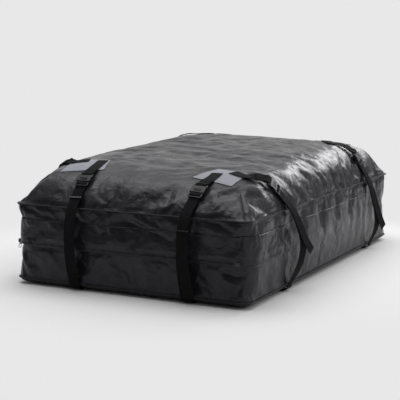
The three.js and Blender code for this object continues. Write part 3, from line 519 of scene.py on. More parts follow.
# The cloth is held at the top seam and the hem, is let out by a fiftieth, and settles from a slightly uneven
# start. Its broad swelling is then taken out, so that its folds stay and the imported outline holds. How far
# it may stand in or out is limited, with least room under the patches and straps and behind the zip.
SLACK = -0.02
PRESSURE = 0.5
SETTLING_FRAMES = 11
MOST_OUT, MOST_IN = 7, 10
LID_CALMING, LID_BLUR_CELLS = 0.85, 13
WALL_CALMING, WALL_BLUR_CELLS = 0.7, 9
STRAP_RUNS = [
    ((205, 230), (231, 40)), ((199, 192), (204, 30)), ((157, 218), (104, 199)), ((104, 199), (24, 262)),
    ((177, 240), (128, 312)), ((128, 312), (22, 300)),
]


def settle(points, quads, held):
    """Runs the cloth from rest and returns where its points end, in millimetres."""
    cloth_object = add_object("settling_cloth", quad_mesh("settling_cloth", points, quads), bag_cloth)
    cloth_object.vertex_groups.new(name="held").add(np.nonzero(held)[0].tolist(), 1.0, "REPLACE")
    modifier = cloth_object.modifiers.new("settle", "CLOTH")
    settings = modifier.settings
    settings.quality = 4
    settings.mass = 0.25
    settings.tension_stiffness = settings.compression_stiffness = 14
    settings.shear_stiffness = 7
    settings.bending_stiffness = 0.25
    settings.tension_damping = settings.compression_damping = settings.shear_damping = 5
    settings.air_damping = 1
    settings.vertex_group_mass = "held"
    settings.shrink_min = SLACK
    settings.use_pressure = True
    settings.uniform_pressure_force = PRESSURE
    settings.effector_weights.gravity = 0
    modifier.point_cache.frame_start, modifier.point_cache.frame_end = 1, SETTLING_FRAMES
    for number in range(1, SETTLING_FRAMES + 1):
        bpy.context.scene.frame_set(number)
    settled = cloth_object.evaluated_get(bpy.context.evaluated_depsgraph_get()).data
    moved = np.zeros(len(settled.vertices) * 3)
    settled.vertices.foreach_get("co", moved)
    bpy.data.objects.remove(cloth_object)
    bpy.context.scene.frame_set(1)
    return moved.reshape(-1, 3) * 1000


def blurred(grid, reach, wraps):
    """A grid's running mean along both axes, over some cells to each side. The second axis may wrap."""
    for axis in (0, 1):
        pad = [(reach, reach) if k == axis else (0, 0) for k in (0, 1)]
        wide = np.pad(grid, pad, mode="wrap" if wraps and axis == 1 else "edge")
        summed = np.cumsum(np.insert(wide, 0, 0, axis=axis), axis=axis)
        ahead = np.take(summed, np.arange(2 * reach + 1, summed.shape[axis]), axis=axis)
        behind = np.take(summed, np.arange(0, summed.shape[axis] - 2 * reach - 1), axis=axis)
        grid = (ahead - behind) / (2 * reach + 1)
    return grid


free_count = columns * rows + len(wall_levels) * rim_count
free_quads = np.concatenate([lid_quads, wall_quads[:len(wall_levels) * rim_count]])
free = np.arange(len(shell_points)) < free_count
at_seam = np.isin(np.arange(len(shell_points)), ring_index[0])
loose = free & ~at_seam & (z > HEM_HEIGHT + 1)
from_seam = np.minimum(1, np.abs(z - SEAM_HEIGHT) / 12 + np.where(z > SEAM_HEIGHT, 0.3, 0))
corner_x, corner_y = HALF_WIDTH - np.abs(x), HALF_LENGTH - np.abs(y)
rise = np.where(loose, fold_rise * from_seam * np.clip((z - HEM_HEIGHT) / 14, 0, 1), 0)
waves = steady.normal(0, 1 / 60, (8, 3)) * steady.uniform(0.8, 3.6, (8, 1))
uneven = np.sum(np.sin(shell_points @ waves.T + steady.uniform(0, 6.28, 8)), 1) * 0.45
start = shell_points + np.where(loose, rise + uneven, 0)[:, None] * shell_normals
moved = settle(start[:free_count], free_quads, ~loose[:free_count]) - shell_points[:free_count]
outward = np.sum(moved * shell_normals[:free_count], 1)
lid_part, wall_part = outward[lid_index], outward[ring_index[:len(wall_levels) + 1]]
outward[lid_index] = lid_part - LID_CALMING * blurred(lid_part, LID_BLUR_CELLS, False)
wall_part = wall_part - WALL_CALMING * blurred(wall_part, WALL_BLUR_CELLS, True)
outward[ring_index[1:len(wall_levels) + 1]] = wall_part[1:]
rise = np.append(outward, np.zeros(len(shell_points) - free_count)) * loose
near_corner = np.exp(-((corner_x / 95) ** 2 + (corner_y / 95) ** 2))
calm = 0.38 + 0.62 * np.maximum(smooth_step(110, 215, z), near_corner)
rise = rise * calm + np.where(loose, fold_rise, 0) * (1 - calm) * 0.6
lid_corner = np.exp(-((corner_x / 120) ** 2 + (corner_y / 120) ** 2)) * (z > SEAM_HEIGHT + 1)
rise *= 1 - 0.55 * lid_corner

strap_apart = np.full(len(shell_points), 1e3)
for start, end in STRAP_RUNS:
    start, line = np.array(start, float), np.subtract(end, start).astype(float)
    share = np.clip((np.stack([corner_x, corner_y], -1) - start) @ line / np.sum(line ** 2), 0, 1)
    strap_apart = np.minimum(strap_apart, np.hypot(corner_x - start[0] - share * line[0],
                                                   corner_y - start[1] - share * line[1]))
under_patch = smooth_step(-20, 10, 95 - np.hypot(corner_x - 176, corner_y - 180))
pressed = np.maximum(1 - smooth_step(22, 50, strap_apart), under_patch) * (z > SEAM_HEIGHT + 1)
behind_zip = (np.abs(z - 140) < 16) & (y < FLAP_RETURN - HALF_LENGTH + 8)
pressed = np.maximum(pressed, behind_zip)
most_out, most_in = MOST_OUT * (1 - pressed) + 0.15 * pressed, MOST_IN * (1 - pressed) + 1.2 * pressed
rise = np.where(rise > 0, most_out * np.tanh(rise / most_out), most_in * np.tanh(rise / most_in))
shell_points = shell_points + rise[:, None] * shell_normals

shell_mesh = quad_mesh("bag_shell", shell_points, shell_quads)
shell = add_object("bag_shell", shell_mesh, bag_cloth)
merged = bmesh.new()
merged.from_mesh(shell_mesh)
bmesh.ops.remove_doubles(merged, verts=merged.verts, dist=0.00002)
merged.to_mesh(shell_mesh)
merged.free()
dress(shell, "bag_body")

# Where the settled walls are, by level and place round the bag, and a tree to lay other pieces on the cloth
wall_rings = shell_points[ring_index[:len(wall_levels) + 1]]
ring_heights = np.concatenate([[SEAM_HEIGHT], wall_levels])
shell_tree = BVHTree.FromPolygons(shell_points.tolist(), shell_quads.tolist())


# Seam cords: piping of woven binding sewn into the top seam and round the bottom hem. It shows as a dark
# line. The lid's corner darts and the wall's panel seams are narrower rows of the same sewing.
WELT_RADIUS, WELT_SIDES, SEAM_SIDES = 2.3, 10, 8
DART_RADIUS, PANEL_SEAM_RADIUS = 2.0, 1.5
THREAD_PER_METRE = 300
END_NARROWING, CAST_REACH = 0.15, 60


def tube(path, outward, radius, sides, closed):
    """A round profile carried along a path. Each ring stands on the path's outward direction and on the
    direction at right angles to that and to the path. Open ends narrow to a small flat cap."""
    path, outward = np.asarray(path, float), np.asarray(outward, float)
    if closed:
        tangent = np.roll(path, -1, 0) - np.roll(path, 1, 0)
    else:
        tangent = np.gradient(path, axis=0)
    tangent = unit(tangent)
    outward = unit(outward - np.sum(outward * tangent, 1, keepdims=True) * tangent)
    beside = np.cross(tangent, outward)
    turn = np.arange(sides) / sides * 2 * np.pi
    size = np.full(len(path), float(radius))
    if not closed:
        size[[0, -1]] = radius * END_NARROWING
    rings = (path[:, None] + size[:, None, None] * (
        np.cos(turn)[None, :, None] * outward[:, None]
        + np.sin(turn)[None, :, None] * beside[:, None]))
    count = len(path)
    index = np.arange(count * sides).reshape(count, sides)
    low = index if closed else index[:-1]
    high = np.roll(index, -1, 0) if closed else index[1:]
    return rings.reshape(-1, 3), ring_quads(low, high), (None if closed else (index[0], index[-1]))


def join_parts(parts):
    """Several (points, quads, caps) as one, with the later parts' corners numbered on."""
    points, quads, caps, offset = [], [], [], 0
    for part_points, part_quads, part_caps in parts:
        points.append(part_points)
        quads.append(np.asarray(part_quads) + offset)
        if part_caps is not None:
            caps += [part_caps[0][::-1] + offset, part_caps[1] + offset]
        offset += len(part_points)
    return np.concatenate(points), np.concatenate(quads), caps


def closed_object(name, material, points, quads, caps=()):
    """An object of quads with its end caps filled, its doubles merged and its faces turned outwards."""
    mesh = quad_mesh(name, points, quads)
    made = bmesh.new()
    made.from_mesh(mesh)
    made.verts.ensure_lookup_table()
    for cap in caps:
        made.faces.new([made.verts[int(i)] for i in cap])
    bmesh.ops.remove_doubles(made, verts=made.verts, dist=0.000002)
    bmesh.ops.recalc_face_normals(made, faces=made.faces)
    for face in made.faces:
        face.smooth = True
    made.to_mesh(mesh)
    made.free()
    return add_object(name, mesh, material)


# Woven binding: fine cross threads in bump over a slow change of tone
binding, add, place = new_material("woven_binding")
tone = mixed(add, noise(add, place, 30, 3), (0.003, 0.003, 0.0035, 1), (0.006, 0.006, 0.007, 1))
show(add, add("ShaderNodeBsdfPrincipled", {
    "Base Color": tone, "Roughness": 0.7,
    "Normal": bumped(add, weave_height(add, place, THREAD_PER_METRE), 0.6, 0.0003),
}))


def lay_on_shell(points, directions, lift):
    """Points moved straight along their own directions onto the settled cloth, then lifted off it."""
    laid = []
    for point, direction in zip(np.asarray(points, float), np.asarray(directions, float)):
        start = Vector(point + direction * CAST_REACH)
        found = shell_tree.ray_cast(start, Vector(-direction), 2 * CAST_REACH)[0]
        laid.append(np.array(found if found is not None else point) + direction * lift)
    return np.array(laid)


for name, z_level in (("top_seam_welt", SEAM_HEIGHT), ("bottom_hem_welt", HEM_HEIGHT)):
    ring, normal = ring_at(z_level)
    points, quads, caps = tube(ring + normal * WELT_RADIUS * 0.75, normal, WELT_RADIUS, WELT_SIDES, True)
    dress(closed_object(name + "_cord", binding, points, quads), name)

DART_PLACES = [(0.952, 0.985), (0.93, 0.955), (0.90, 0.925), (0.865, 0.89), (0.828, 0.857)]
share = np.array(DART_PLACES)
fine = np.linspace(0, len(share) - 1, 24)
plan = read_rows(fine, np.arange(len(share)), share)
dart_parts = []
for _, side, end in CORNERS:
    x, y = plan[:, 0] * HALF_WIDTH * side, plan[:, 1] * HALF_LENGTH * end
    lie = lid_normal(x, y)
    path = lay_on_shell(np.stack([x, y, lid_height(x, y)], -1), lie, DART_RADIUS * 0.2)
    dart_parts.append(tube(path, lie, DART_RADIUS, SEAM_SIDES, False))
darts = closed_object("corner_dart_seams", binding, *join_parts(dart_parts))
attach(darts, "bag")

# The walls' panel seam, level with the flap's, goes on along both long sides and the rear
beyond_flap = rim_y > FLAP_RETURN - HALF_LENGTH - 12
ring, normal = ring_at(FLAP_TOP)
order = np.roll(np.arange(rim_count), -int(np.argmax(~beyond_flap & (rim_x > 0))) - 1)
order = order[beyond_flap[order]]
path = lay_on_shell(ring[order], normal[order], 0.3)
panel_tube = join_parts([tube(path, normal[order], PANEL_SEAM_RADIUS, SEAM_SIDES, False)])
panel_seam = closed_object("wall_panel_seam", bag_cloth, *panel_tube)
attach(panel_seam, "bag")


# Storm flap: a strip of the bag's cloth sewn on above the zip. It runs round the front and a little way
# down both long sides, hangs over the zip and stands off the wall at its free edge.
FLAP_THICKNESS, FLAP_FLARE, FLAP_CLEAR = 1.6, 7.6, 0.8
FLAP_ROWS = 26
HEM_STITCH_UP = 9
# Size, length and start of each wave along its free edge
FLAP_WAVES = [(1.3, 41, 0.8), (0.9, 17.3, 0)]


def wall_at(height, places):
    """The settled wall at a height, for chosen places round the bag, between its two nearest rings."""
    level = np.interp(-height, -ring_heights, np.arange(len(ring_heights)))
    low = min(int(level), len(ring_heights) - 2)
    part = level - low
    return wall_rings[low][places] * (1 - part) + wall_rings[low + 1][places] * part


def sheet_between(under, over):
    """A closed sheet from two grids of points, one for each face, with its four edges filled."""
    rows, columns = under.shape[:2]
    index = np.arange(rows * columns).reshape(rows, columns)
    top = index + rows * columns
    edge = np.concatenate([index[0, :-1], index[:-1, -1], index[-1, :0:-1], index[:0:-1, 0]])
    following = np.roll(edge, -1)
    quads = np.concatenate([
        grid_quads(index)[:, FACING_BACK], grid_quads(top),
        np.stack([edge, edge + rows * columns, following + rows * columns, following], -1),
    ])
    return np.concatenate([under.reshape(-1, 3), over.reshape(-1, 3)]), quads


flap_places = np.nonzero(~beyond_flap | (rim_y < FLAP_RETURN - HALF_LENGTH))[0]
flap_run = run_along(ring[flap_places][:, :2])
wave = sum(size * np.sin(flap_run / length + start) for size, length, start in FLAP_WAVES)
under_rows, over_rows = [], []
for t in np.linspace(0, 1, FLAP_ROWS):
    height = FLAP_TOP + (FLAP_BOTTOM - FLAP_TOP) * t
    outward = ring_at(height)[1][flap_places]
    stand = FLAP_CLEAR + FLAP_FLARE * t ** 1.4 + wave * t ** 2
    stitched = np.exp(-((height - FLAP_BOTTOM - HEM_STITCH_UP) / 2.5) ** 2)
    base = wall_at(height, flap_places)
    under_rows.append(base + outward * stand[:, None])
    over_rows.append(base + outward * (stand + FLAP_THICKNESS - 0.7 * stitched)[:, None])
flap_faces = sheet_between(np.array(under_rows), np.array(over_rows))
flap = closed_object("storm_flap_cloth", bag_cloth, *flap_faces)
dress(flap, "storm_flap")


# Zip: a woven tape sewn to both walls of the opening, with a chain of moulded teeth along its middle. It
# lies under the flap. Two plated sliders with ring pulls ride on it, one near each front corner.
ZIP_HEIGHT, TAPE_HALF, TAPE_LIFT, TAPE_TOP = 140, 9, 0.4, 1.4
TOOTH_PITCH, TOOTH_HALF_WIDTH, CHAIN_RISE = 3.0, 3.0, 1.8
TOOTH_SAMPLES, TOOTH_SIDES = 4, 8

tape_rows = []
for lift in (TAPE_LIFT, TAPE_TOP):
    tape_rows.append(np.array([
        ring_at(h)[0][flap_places] + ring_at(h)[1][flap_places] * lift
        for h in np.linspace(ZIP_HEIGHT + TAPE_HALF, ZIP_HEIGHT - TAPE_HALF, 5)
    ]))
zip_line, zip_out = (rows[flap_places] for rows in ring_at(ZIP_HEIGHT))
zip_run = run_along(zip_line)
tooth_at = np.arange(0, zip_run[-1], TOOTH_PITCH / TOOTH_SAMPLES)
tooth_line, tooth_out = (read_rows(tooth_at, zip_run, rows) for rows in (zip_line, zip_out))
tooth_line = tooth_line + tooth_out * TAPE_TOP
turn = np.arange(TOOTH_SIDES) / TOOTH_SIDES * 2 * np.pi
swell = 0.62 + 0.38 * np.abs(np.cos(np.pi * tooth_at / TOOTH_PITCH))
chain_rings = (tooth_line[:, None]
               + (np.cos(turn) * TOOTH_HALF_WIDTH)[None, :, None] * np.array([0, 0, 1.0])
               + (np.sin(turn)[None, :] * CHAIN_RISE * swell[:, None])[..., None] * tooth_out[:, None])
chain_index = np.arange(len(tooth_at) * TOOTH_SIDES).reshape(-1, TOOTH_SIDES)
chain_quads = ring_quads(chain_index[:-1], chain_index[1:])
zip_parts = join_parts([
    (*sheet_between(*tape_rows), None),
    (chain_rings.reshape(-1, 3), chain_quads, (chain_index[0], chain_index[-1])),
])
dress(closed_object("zip_tape_and_teeth", binding, *zip_parts), "zip")


# Corner patches: four pale pieces of coated cloth that reinforce the lid where the straps are sewn on.
# Each is drawn between four corners given in plan, in from the long side and from the end.
PATCH_CORNERS = np.array([(109, 108), (105, 228), (222, 248), (262, 140)], float)
PATCH_CELLS, PATCH_LIFT, PATCH_THICKNESS = 30, 0.5, 1.2
PATCH_DARK, PATCH_LIGHT = (0.20, 0.205, 0.235, 1), (0.27, 0.275, 0.31, 1)
patch_cloth = coated_cloth("pale_patch_cloth", PATCH_DARK, PATCH_LIGHT, 0.4, 0.55, 0.0006)


def from_corner(place, side, end):
    """A place in plan from its distances in from the long side and from the end."""
    place = np.asarray(place, float)
    return (HALF_WIDTH - place[..., 0]) * side, (HALF_LENGTH - place[..., 1]) * end


def patch_grids(side, end):
    """The patch's two faces: its corners mixed over a square grid, laid on the cloth and lifted."""
    s, t = np.meshgrid(*[np.linspace(0, 1, PATCH_CELLS + 1)] * 2, indexing="ij")
    a, b, c, d = PATCH_CORNERS
    plan = ((1 - s)[..., None] * ((1 - t)[..., None] * a + t[..., None] * b)
            + s[..., None] * ((1 - t)[..., None] * d + t[..., None] * c))
    x, y = from_corner(plan, side, end)
    lie = lid_normal(x, y)
    flat = np.stack([x, y, lid_height(x, y)], -1)
    laid = lay_on_shell(flat.reshape(-1, 3), lie.reshape(-1, 3), 0).reshape(flat.shape)
    edge = np.minimum(np.minimum(s, 1 - s), np.minimum(t, 1 - t)) * 120
    stitched = np.exp(-((edge - 6) / 2.2) ** 2)
    return laid + lie * PATCH_LIFT, laid + lie * (PATCH_LIFT + PATCH_THICKNESS - 0.6 * stitched)[..., None]


for name, side, end in CORNERS:
    patch = closed_object(f"patch_cloth_{name}", patch_cloth, *sheet_between(*patch_grids(side, end)))
    dress(patch, f"patch_{name}")


# Straps: black woven polyester webbing. An upper strap is sewn to the patch and looped round the female
# buckle half's bar. A lower strap comes up from under the hem, goes through the male half's ladder and
# ends in a free tail. Places are distances from the nearest corner, out from the wall, and up as a share
# of the top seam's height.
WEB_WIDTH, WEB_THICKNESS = 38, 1.8
BUCKLE_STAND_OFF, BAR_HALF_THICKNESS, GAP = 9, 2.85, 0.4
SOCKET_BACK, END_SLOT, END_BAR = -27, 5, 4.5
MALE_HALF_THICKNESS = 2.25
INNER_SLOT_MIDDLE, OUTER_SLOT_MIDDLE, MALE_END = 6.4, 13.9, 19.4
STRAND_PITCH = WEB_THICKNESS + GAP
SEWN_FROM, SEWN_TO = 9, 36
TURNED_BY, TAIL_EASE = 75, 0.2
JOIN_AHEAD, LOOP_OVERHANG, LEAVE_BEYOND = 7, 3, 4
HEM_TUCK = [(5, 11), (-10, 4.2), (-30, 2.8)]
END_STRAP_LEFT = {
    "over_end": True, "root": (205, 230), "via": (217, 180), "buckle": (234, 62),
    "twist": 0.0, "hang": [(237, 14, 0.993), (237, 33, 0.719), (237, 31, 0.393), (237, 10, 0.096)],
    "tail": [(245, 38, 0.393), (251, 20, 0.178)],
}
END_STRAP_RIGHT = {
    "over_end": True, "root": (199, 192), "via": (195, 160), "buckle": (201, 56),
    "twist": 0.0, "hang": [(208, 14, 0.993), (211, 30, 0.719), (212, 25, 0.393), (208, 10, 0.096)],
    "tail": [(201, 33, 0.393), (187, 28, 0.089)],
}
SIDE_STRAP_FRONT = {
    "over_end": False, "root": (157, 218), "via": (104, 199), "buckle": (30, 252),
    "twist": 0.2,
    "hang": [(302, 13, 0.993), (315, 29, 0.844), (330, 43, 0.593), (328, 35, 0.348), (312, 20, 0.185),
             (302, 10, 0.096)],
    "tail": [(333, 52, 0.611), (350, 65, 0.481)],
}
SIDE_STRAP_REAR = {
    "over_end": False, "root": (177, 240), "via": (128, 312), "buckle": (28, 304),
    "twist": 0.2,
    "hang": [(280, 13, 0.993), (262, 29, 0.759), (240, 38, 0.452), (234, 28, 0.256), (238, 10, 0.096)],
    "tail": [(230, 47, 0.452), (210, 55, 0.311)],
}
STRAPS = [
    ("front_left", END_STRAP_LEFT, -1, -1), ("front_right", END_STRAP_RIGHT, 1, -1),
    ("rear_left", END_STRAP_LEFT, -1, 1), ("rear_right", END_STRAP_RIGHT, 1, 1),
    ("right_front", SIDE_STRAP_FRONT, 1, -1), ("right_rear", SIDE_STRAP_REAR, 1, 1),
    ("left_front", SIDE_STRAP_FRONT, -1, -1), ("left_rear", SIDE_STRAP_REAR, -1, 1),
]
WEB_STEP, WEB_BEND = 4.0, 2.2
# The webbing's section: places across it, and a thickness that falls off at the selvedges
WEB_HALF, SELVEDGE_THINNING = WEB_WIDTH / 2, 0.25
WEB_PLACES = (-18.5, -17, -12, -6, 0, 6, 12, 17, 18.5)
WEB_FACE = [(x, WEB_THICKNESS / 2 - SELVEDGE_THINNING * (abs(x) / WEB_HALF) ** 4) for x in WEB_PLACES]
WEB_PROFILE = np.array(WEB_FACE + [(WEB_HALF, 0)] + [(-x, -h) for x, h in WEB_FACE] + [(-WEB_HALF, 0)])


def smooth_line(points):
    """A centripetal Catmull-Rom curve through the points: between two of them it is the cubic with slopes
    from the chords' square-root lengths. It is sampled about every few millimetres."""
    points = np.asarray(points, float)
    points = np.concatenate([[2 * points[0] - points[1]], points, [2 * points[-1] - points[-2]]])
    line = []
    for p0, p1, p2, p3 in zip(points, points[1:], points[2:], points[3:]):
        a, b, c = (max(np.linalg.norm(q - p) ** 0.5, 1e-4) for p, q in ((p0, p1), (p1, p2), (p2, p3)))
        leave = ((p1 - p0) / a - (p2 - p0) / (a + b) + (p2 - p1) / b) * b
        arrive = ((p2 - p1) / b - (p3 - p1) / (b + c) + (p3 - p2) / c) * b
        t = np.linspace(0, 1, max(2, round(np.linalg.norm(p2 - p1) / WEB_STEP)) + 1)[:-1, None]
        line.append((2 * t ** 3 - 3 * t ** 2 + 1) * p1 + (t ** 3 - 2 * t ** 2 + t) * leave
                    + (3 * t ** 2 - 2 * t ** 3) * p2 + (t ** 3 - t ** 2) * arrive)
    return np.concatenate(line + [points[-2:-1]])


def round_bends(line):
    """Each inner corner of a line becomes a parabola that leaves and meets the line a little way off."""
    line = np.asarray(line, float)
    rounded = [line[:1]]
    for before, here, after in zip(line, line[1:], line[2:]):
        start = here + (before - here) * min(WEB_BEND / np.linalg.norm(before - here), 0.5)
        end = here + (after - here) * min(WEB_BEND / np.linalg.norm(after - here), 0.5)
        t = np.linspace(0, 1, 5)[:, None]
        rounded.append((1 - t) ** 2 * start + 2 * t * (1 - t) * here + t ** 2 * end)
    return np.concatenate(rounded + [line[-1:]])


def web_band(name, path, across, material):
    """The webbing's flat section carried along a path, with its length and width in metres as UV."""
    keep = np.concatenate([[True], np.linalg.norm(np.diff(path, axis=0), axis=1) > 0.05])
    path, across = path[keep], across[keep]
    tangent = unit(np.gradient(path, axis=0))
    side = unit(across - np.sum(across * tangent, 1, keepdims=True) * tangent)
    face = np.cross(side, tangent)
    rings = (path[:, None] + WEB_PROFILE[None, :, :1] * side[:, None]
             + WEB_PROFILE[None, :, 1:] * face[:, None])
    count, sides = rings.shape[:2]
    index = np.arange(count * sides).reshape(count, sides)
    mesh = quad_mesh(name, rings, ring_quads(index[:-1], index[1:]))
    run = run_along(path)
    made = bmesh.new()
    made.from_mesh(mesh)
    made.verts.ensure_lookup_table()
    uv_layer = made.loops.layers.uv.new("web")
    for cap in (index[0][::-1], index[-1]):
        made.faces.new([made.verts[int(i)] for i in cap])
    for face_made in made.faces:
        face_made.smooth = True
        for corner in face_made.loops:
            ring_number, place = divmod(corner.vert.index, sides)
            corner[uv_layer].uv = (run[ring_number] / 1000, WEB_PROFILE[place, 0] / 1000)
    bmesh.ops.recalc_face_normals(made, faces=made.faces)
    made.to_mesh(mesh)
    made.free()
    return add_object(name, mesh, material)


# Herringbone webbing: slanting ribs that turn back at each row, with flat selvedges, from its UV
RIB_PITCH, ROW_WIDTH = 0.0022, 0.00475
webbing, add, object_place = new_material("polyester_webbing")
place = add("ShaderNodeSeparateXYZ", {0: add("ShaderNodeUVMap", uv_map="web").outputs[0]}).outputs
zigzag = maths(add, "PINGPONG", maths(add, "ADD", place["Y"], 0.019), ROW_WIDTH)
slant = maths(add, "ADD", place["X"], zigzag)
ribs = maths(add, "SINE", maths(add, "MULTIPLY", slant, 2 * math.pi / RIB_PITCH))
selvedge = stepped(add, maths(add, "ABSOLUTE", place["Y"]), 0.0162, 0.0172)
height = maths(add, "MULTIPLY_ADD", ribs, maths(add, "SUBTRACT", 1.0, selvedge), selvedge)
tone = mixed(add, noise(add, object_place, 18, 3), (0.0022, 0.0021, 0.0024, 1), (0.0055, 0.0053, 0.006, 1))
fuzz = bumped(add, noise(add, object_place, 420, 2), 0.5, 0.0002)
show(add, add("ShaderNodeBsdfPrincipled", {
    "Base Color": tone, "Roughness": 0.82, "Specular IOR Level": 0.12,
    "Normal": bumped(add, height, 0.8, 0.0003, Normal=fuzz),
}))

buckle_places = {}
for name, plan, side, end in STRAPS:
    def on_wall(along, out, height):
        """A point by its distance along the wall from the corner, out from the wall, and up."""
        x, y = from_corner((along, -out) if plan["over_end"] else (-out, along), side, end)
        return np.array([x, y, height])

    hang = [on_wall(along, out, share * SEAM_HEIGHT) for along, out, share in plan["hang"]]
    bx, by = from_corner(plan["buckle"], side, end)
    mouth, out = on_lid(bx, by, BUCKLE_STAND_OFF), lid_normal(bx, by)
    along = hang[0] - mouth
    along -= along @ out * out
    along /= np.linalg.norm(along)
    across = np.cross(along, out)
    buckle_places[name] = (mouth, across, along, out)

    def local(a, h):
        """A point in the buckle's own frame: along the strap from the mouth, and out from the bag."""
        return mouth + along * a + out * h

    under = -BAR_HALF_THICKNESS - GAP - WEB_THICKNESS / 2
    slot_middle, back = SOCKET_BACK - END_SLOT / 2, SOCKET_BACK - END_SLOT - END_BAR - LOOP_OVERHANG
    join = local(slot_middle - JOIN_AHEAD, under)
    foot = join.copy()
    for _ in range(8):
        join_lift = (join - on_lid(foot[0], foot[1], 0)) @ lid_normal(foot[0], foot[1])
        foot = join - lid_normal(foot[0], foot[1]) * join_lift
    rx, ry = from_corner(plan["root"], side, end)
    vx, vy = from_corner(plan["via"], side, end)
    plan_line = smooth_line([(rx, ry, 0), (vx, vy, 0), (foot[0], foot[1], 0)])[:-1]
    share = np.linspace(0, 1, len(plan_line))
    lift = PATCH_LIFT + PATCH_THICKNESS + GAP + WEB_THICKNESS / 2
    lift += (join_lift - lift) * smooth_step(0.3, 1, share)
    lie = lid_normal(plan_line[:, 0], plan_line[:, 1])
    top = on_lid(plan_line[:, 0], plan_line[:, 1], 0) + lie * lift[:, None]
    top_across = unit(np.cross(np.gradient(top, axis=0), lie))
    turning = smooth_step(0.5, 1, share)[:, None]
    top_across = top_across * (1 - turning) + across * turning
    loop = round_bends([(slot_middle - JOIN_AHEAD, under), (slot_middle, under), (slot_middle, -under),
                        (back, -under), (back - 2, -under - 2)])
    loop = np.array([local(a, h) for a, h in loop])
    # Behind the buckle the strap's end is sewn back on to it, and follows it.
    behind = np.cumsum(np.linalg.norm(np.diff(top[::-1], axis=0), axis=1))
    is_sewn = (behind > SEWN_FROM) & (behind < SEWN_TO)
    sewn, sewn_lie, sewn_across = (rows[::-1][1:][is_sewn] for rows in (top, lie, top_across))
    lap = smooth_line(np.concatenate([loop[-1:], sewn + sewn_lie * STRAND_PITCH]))[1:]
    loop = np.concatenate([loop, lap])
    loop_across = np.tile(across, (len(loop), 1))
    loop_across[-len(sewn):] = sewn_across
    upper = web_band(f"upper_web_{name}", np.concatenate([top, loop]),
                     np.concatenate([top_across, loop_across]), webbing)
    dress(upper, f"upper_strap_{name}")

    tail_height = -MALE_HALF_THICKNESS - GAP - WEB_THICKNESS / 2
    load_height, over_height, leave = tail_height - STRAND_PITCH, -tail_height, MALE_END + LEAVE_BEYOND
    wall_across = np.array([1.0, 0, 0] if plan["over_end"] else [0, 1.0, 0])
    wall_across *= 1 if wall_across @ across >= 0 else -1

    # The cross direction turns from the buckle's to the wall's, and on a long side a little further round.
    tuck = [on_wall(plan["hang"][-1][0], out_, z_) for out_, z_ in HEM_TUCK]
    load = smooth_line([local(leave, load_height), *hang, *tuck])
    run = run_along(load)
    turned = smooth_step(0, TURNED_BY, run)[:, None]
    share = run / run[-1]
    twist = plan["twist"] * smooth_step(0.15, 0.4, share) * (1 - smooth_step(0.62, 0.9, share))
    sideways = np.array([0, end, 0.0] if plan["over_end"] else [side, 0.0, 0])
    twisted = wall_across + sideways * (np.tan(twist) * np.sign(wall_across @ (1, 1, 0)))[:, None]
    load_across = across * (1 - turned) + twisted * turned

    # The tail lies on the load strand as far as its second hanging point, then goes its own way.
    shared = int(np.argmin(np.linalg.norm(load - hang[1], axis=1))) + 1
    face = unit(np.cross(load_across, np.gradient(load, axis=0))[:shared])
    face *= np.sign(face[0] @ out)
    apart = STRAND_PITCH * (1 + TAIL_EASE * smooth_step(0, 20, run[:shared]))
    beside = load[:shared] + face * apart[:, None]
    tail_end = smooth_line([beside[-6], beside[-1], *[
        on_wall(along_, out_, share_ * SEAM_HEIGHT) for along_, out_, share_ in plan["tail"]]])
    tail_end = tail_end[int(np.argmin(np.linalg.norm(tail_end - beside[-1], axis=1))) + 1:]
    tail = np.concatenate([beside, tail_end])
    tail_across = np.concatenate([load_across[:shared], np.tile(load_across[shared - 1], (len(tail_end), 1))])
    threading = round_bends([
        (leave, load_height), (INNER_SLOT_MIDDLE, load_height), (INNER_SLOT_MIDDLE, over_height),
        (OUTER_SLOT_MIDDLE, over_height), (OUTER_SLOT_MIDDLE, tail_height), (leave, tail_height)])[1:-1]
    threading = np.array([local(a, h) for a, h in threading])
    lower = web_band(f"lower_web_{name}", np.concatenate([load[::-1], threading, tail]), np.concatenate([
        load_across[::-1], np.tile(across, (len(threading), 1)), tail_across]), webbing)
    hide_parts(f"lower_strap_{name}")
    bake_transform(lower)


# Buckles and web keepers: moulded black acetal, with softened edges. Each is the frame's own solid with
# its edges rounded. The female half has grip ribs across its outer face.
EDGE_ROUNDING = 0.0006
RIB_PLACES, RIB_HALF_LENGTH, RIB_HALF_WIDTH, RIB_HEIGHTS = (-5.0, -8.2, -11.4, -14.6), 13, 0.8, (5.2, 6.3)
BOX_SIDES = ((0, 1, 3, 2), (4, 6, 7, 5), (0, 4, 5, 1), (2, 3, 7, 6), (0, 2, 6, 4), (1, 5, 7, 3))


def moulded_plastic(name, rough_low, rough_high, specular):
    """Satin moulded plastic: faint flow marks in the gloss and a very fine grain in bump."""
    material, add, place = new_material(name)
    flow = noise(add, place, 60, 2, Distortion=1.0)
    show(add, add("ShaderNodeBsdfPrincipled", {
        "Base Color": mixed(add, flow, (0.004, 0.004, 0.0045, 1), (0.008, 0.008, 0.0085, 1)),
        "Roughness": stepped(add, flow, 0.3, 0.7, rough_low, rough_high), "Specular IOR Level": specular,
        "Normal": bumped(add, noise(add, place, 1500, 2), 0.25, 0.00008),
    }))
    return material


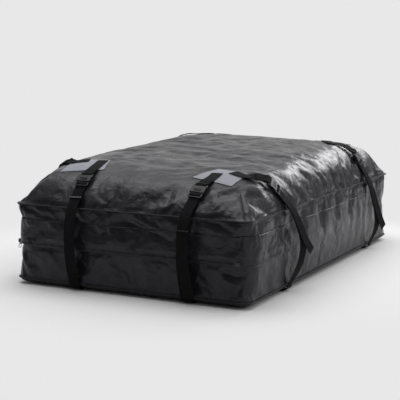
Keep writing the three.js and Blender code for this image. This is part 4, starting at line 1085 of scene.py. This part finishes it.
def rounded_copy(node, new_name, material, extra=None):
    """A copy of a frame solid, merged into flat faces, with its sharp edges rounded over."""
    made = bmesh.new()
    made.from_mesh(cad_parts[node].data)
    bmesh.ops.remove_doubles(made, verts=made.verts, dist=0.000005)
    bmesh.ops.dissolve_limit(made, angle_limit=math.radians(1), verts=made.verts, edges=made.edges)
    if extra is not None:
        extra(made)
    mesh = bpy.data.meshes.new(new_name)
    made.to_mesh(mesh)
    made.free()
    copy = add_object(new_name, mesh, material)
    bevel = copy.modifiers.new("rounded_edges", "BEVEL")
    bevel.width, bevel.segments, bevel.limit_method = EDGE_ROUNDING, 2, "ANGLE"
    bevel.angle_limit = math.radians(30)
    for face in mesh.polygons:
        face.use_smooth = False
    return copy


def grip_ribs(place):
    """Adds four low ribs across the female half's outer face, in the buckle's own frame."""
    mouth, across, along, out = place

    def add_ribs(made):
        for a in RIB_PLACES:
            corners = [(x, y, h) for x in (-RIB_HALF_LENGTH, RIB_HALF_LENGTH)
                       for y in (a - RIB_HALF_WIDTH, a + RIB_HALF_WIDTH) for h in RIB_HEIGHTS]
            verts = [made.verts.new((mouth + across * x + along * y + out * h) / 1000) for x, y, h in corners]
            for ids in BOX_SIDES:
                made.faces.new([verts[i] for i in ids])
        bmesh.ops.recalc_face_normals(made, faces=made.faces)

    return add_ribs


plastic = moulded_plastic("moulded_acetal", 0.42, 0.54, 0.3)
keeper_plastic = moulded_plastic("polished_acetal", 0.2, 0.3, 0.8)
for name, plan, side, end in STRAPS:
    node = f"buckle_female_{name}"
    dress(rounded_copy(node, f"female_half_{name}", plastic, grip_ribs(buckle_places[name])), node)
    node = f"buckle_male_{name}"
    dress(rounded_copy(node, f"male_half_{name}", plastic), node, node)
    if plan["over_end"]:
        node = f"web_keeper_{name}"
        dress(rounded_copy(node, f"keeper_frame_{name}", keeper_plastic), node, node)


# Zip sliders and ring pulls: plated zinc, darkened and a little dulled, with fine scratches in bump and a
# patchy gloss. They are the frame's own solids, rounded over.
METAL_ROUNDING = 0.0003

zinc, add, place = new_material("plated_zinc")
show(add, add("ShaderNodeBsdfPrincipled", {
    "Base Color": (0.055, 0.055, 0.06, 1), "Metallic": 1.0,
    "Roughness": stepped(add, noise(add, place, 240, 3), 0.3, 0.7, 0.32, 0.48),
    "Normal": bumped(add, noise(add, place, 2600, 2, Distortion=2), 0.15, 0.00005),
}))
for side_name in ("left", "right"):
    for part in ("slider", "ring"):
        node = f"zip_{part}_{side_name}"
        metal = rounded_copy(node, f"plated_{part}_{side_name}", zinc)
        metal.modifiers["rounded_edges"].width = METAL_ROUNDING
        dress(metal, node, node)
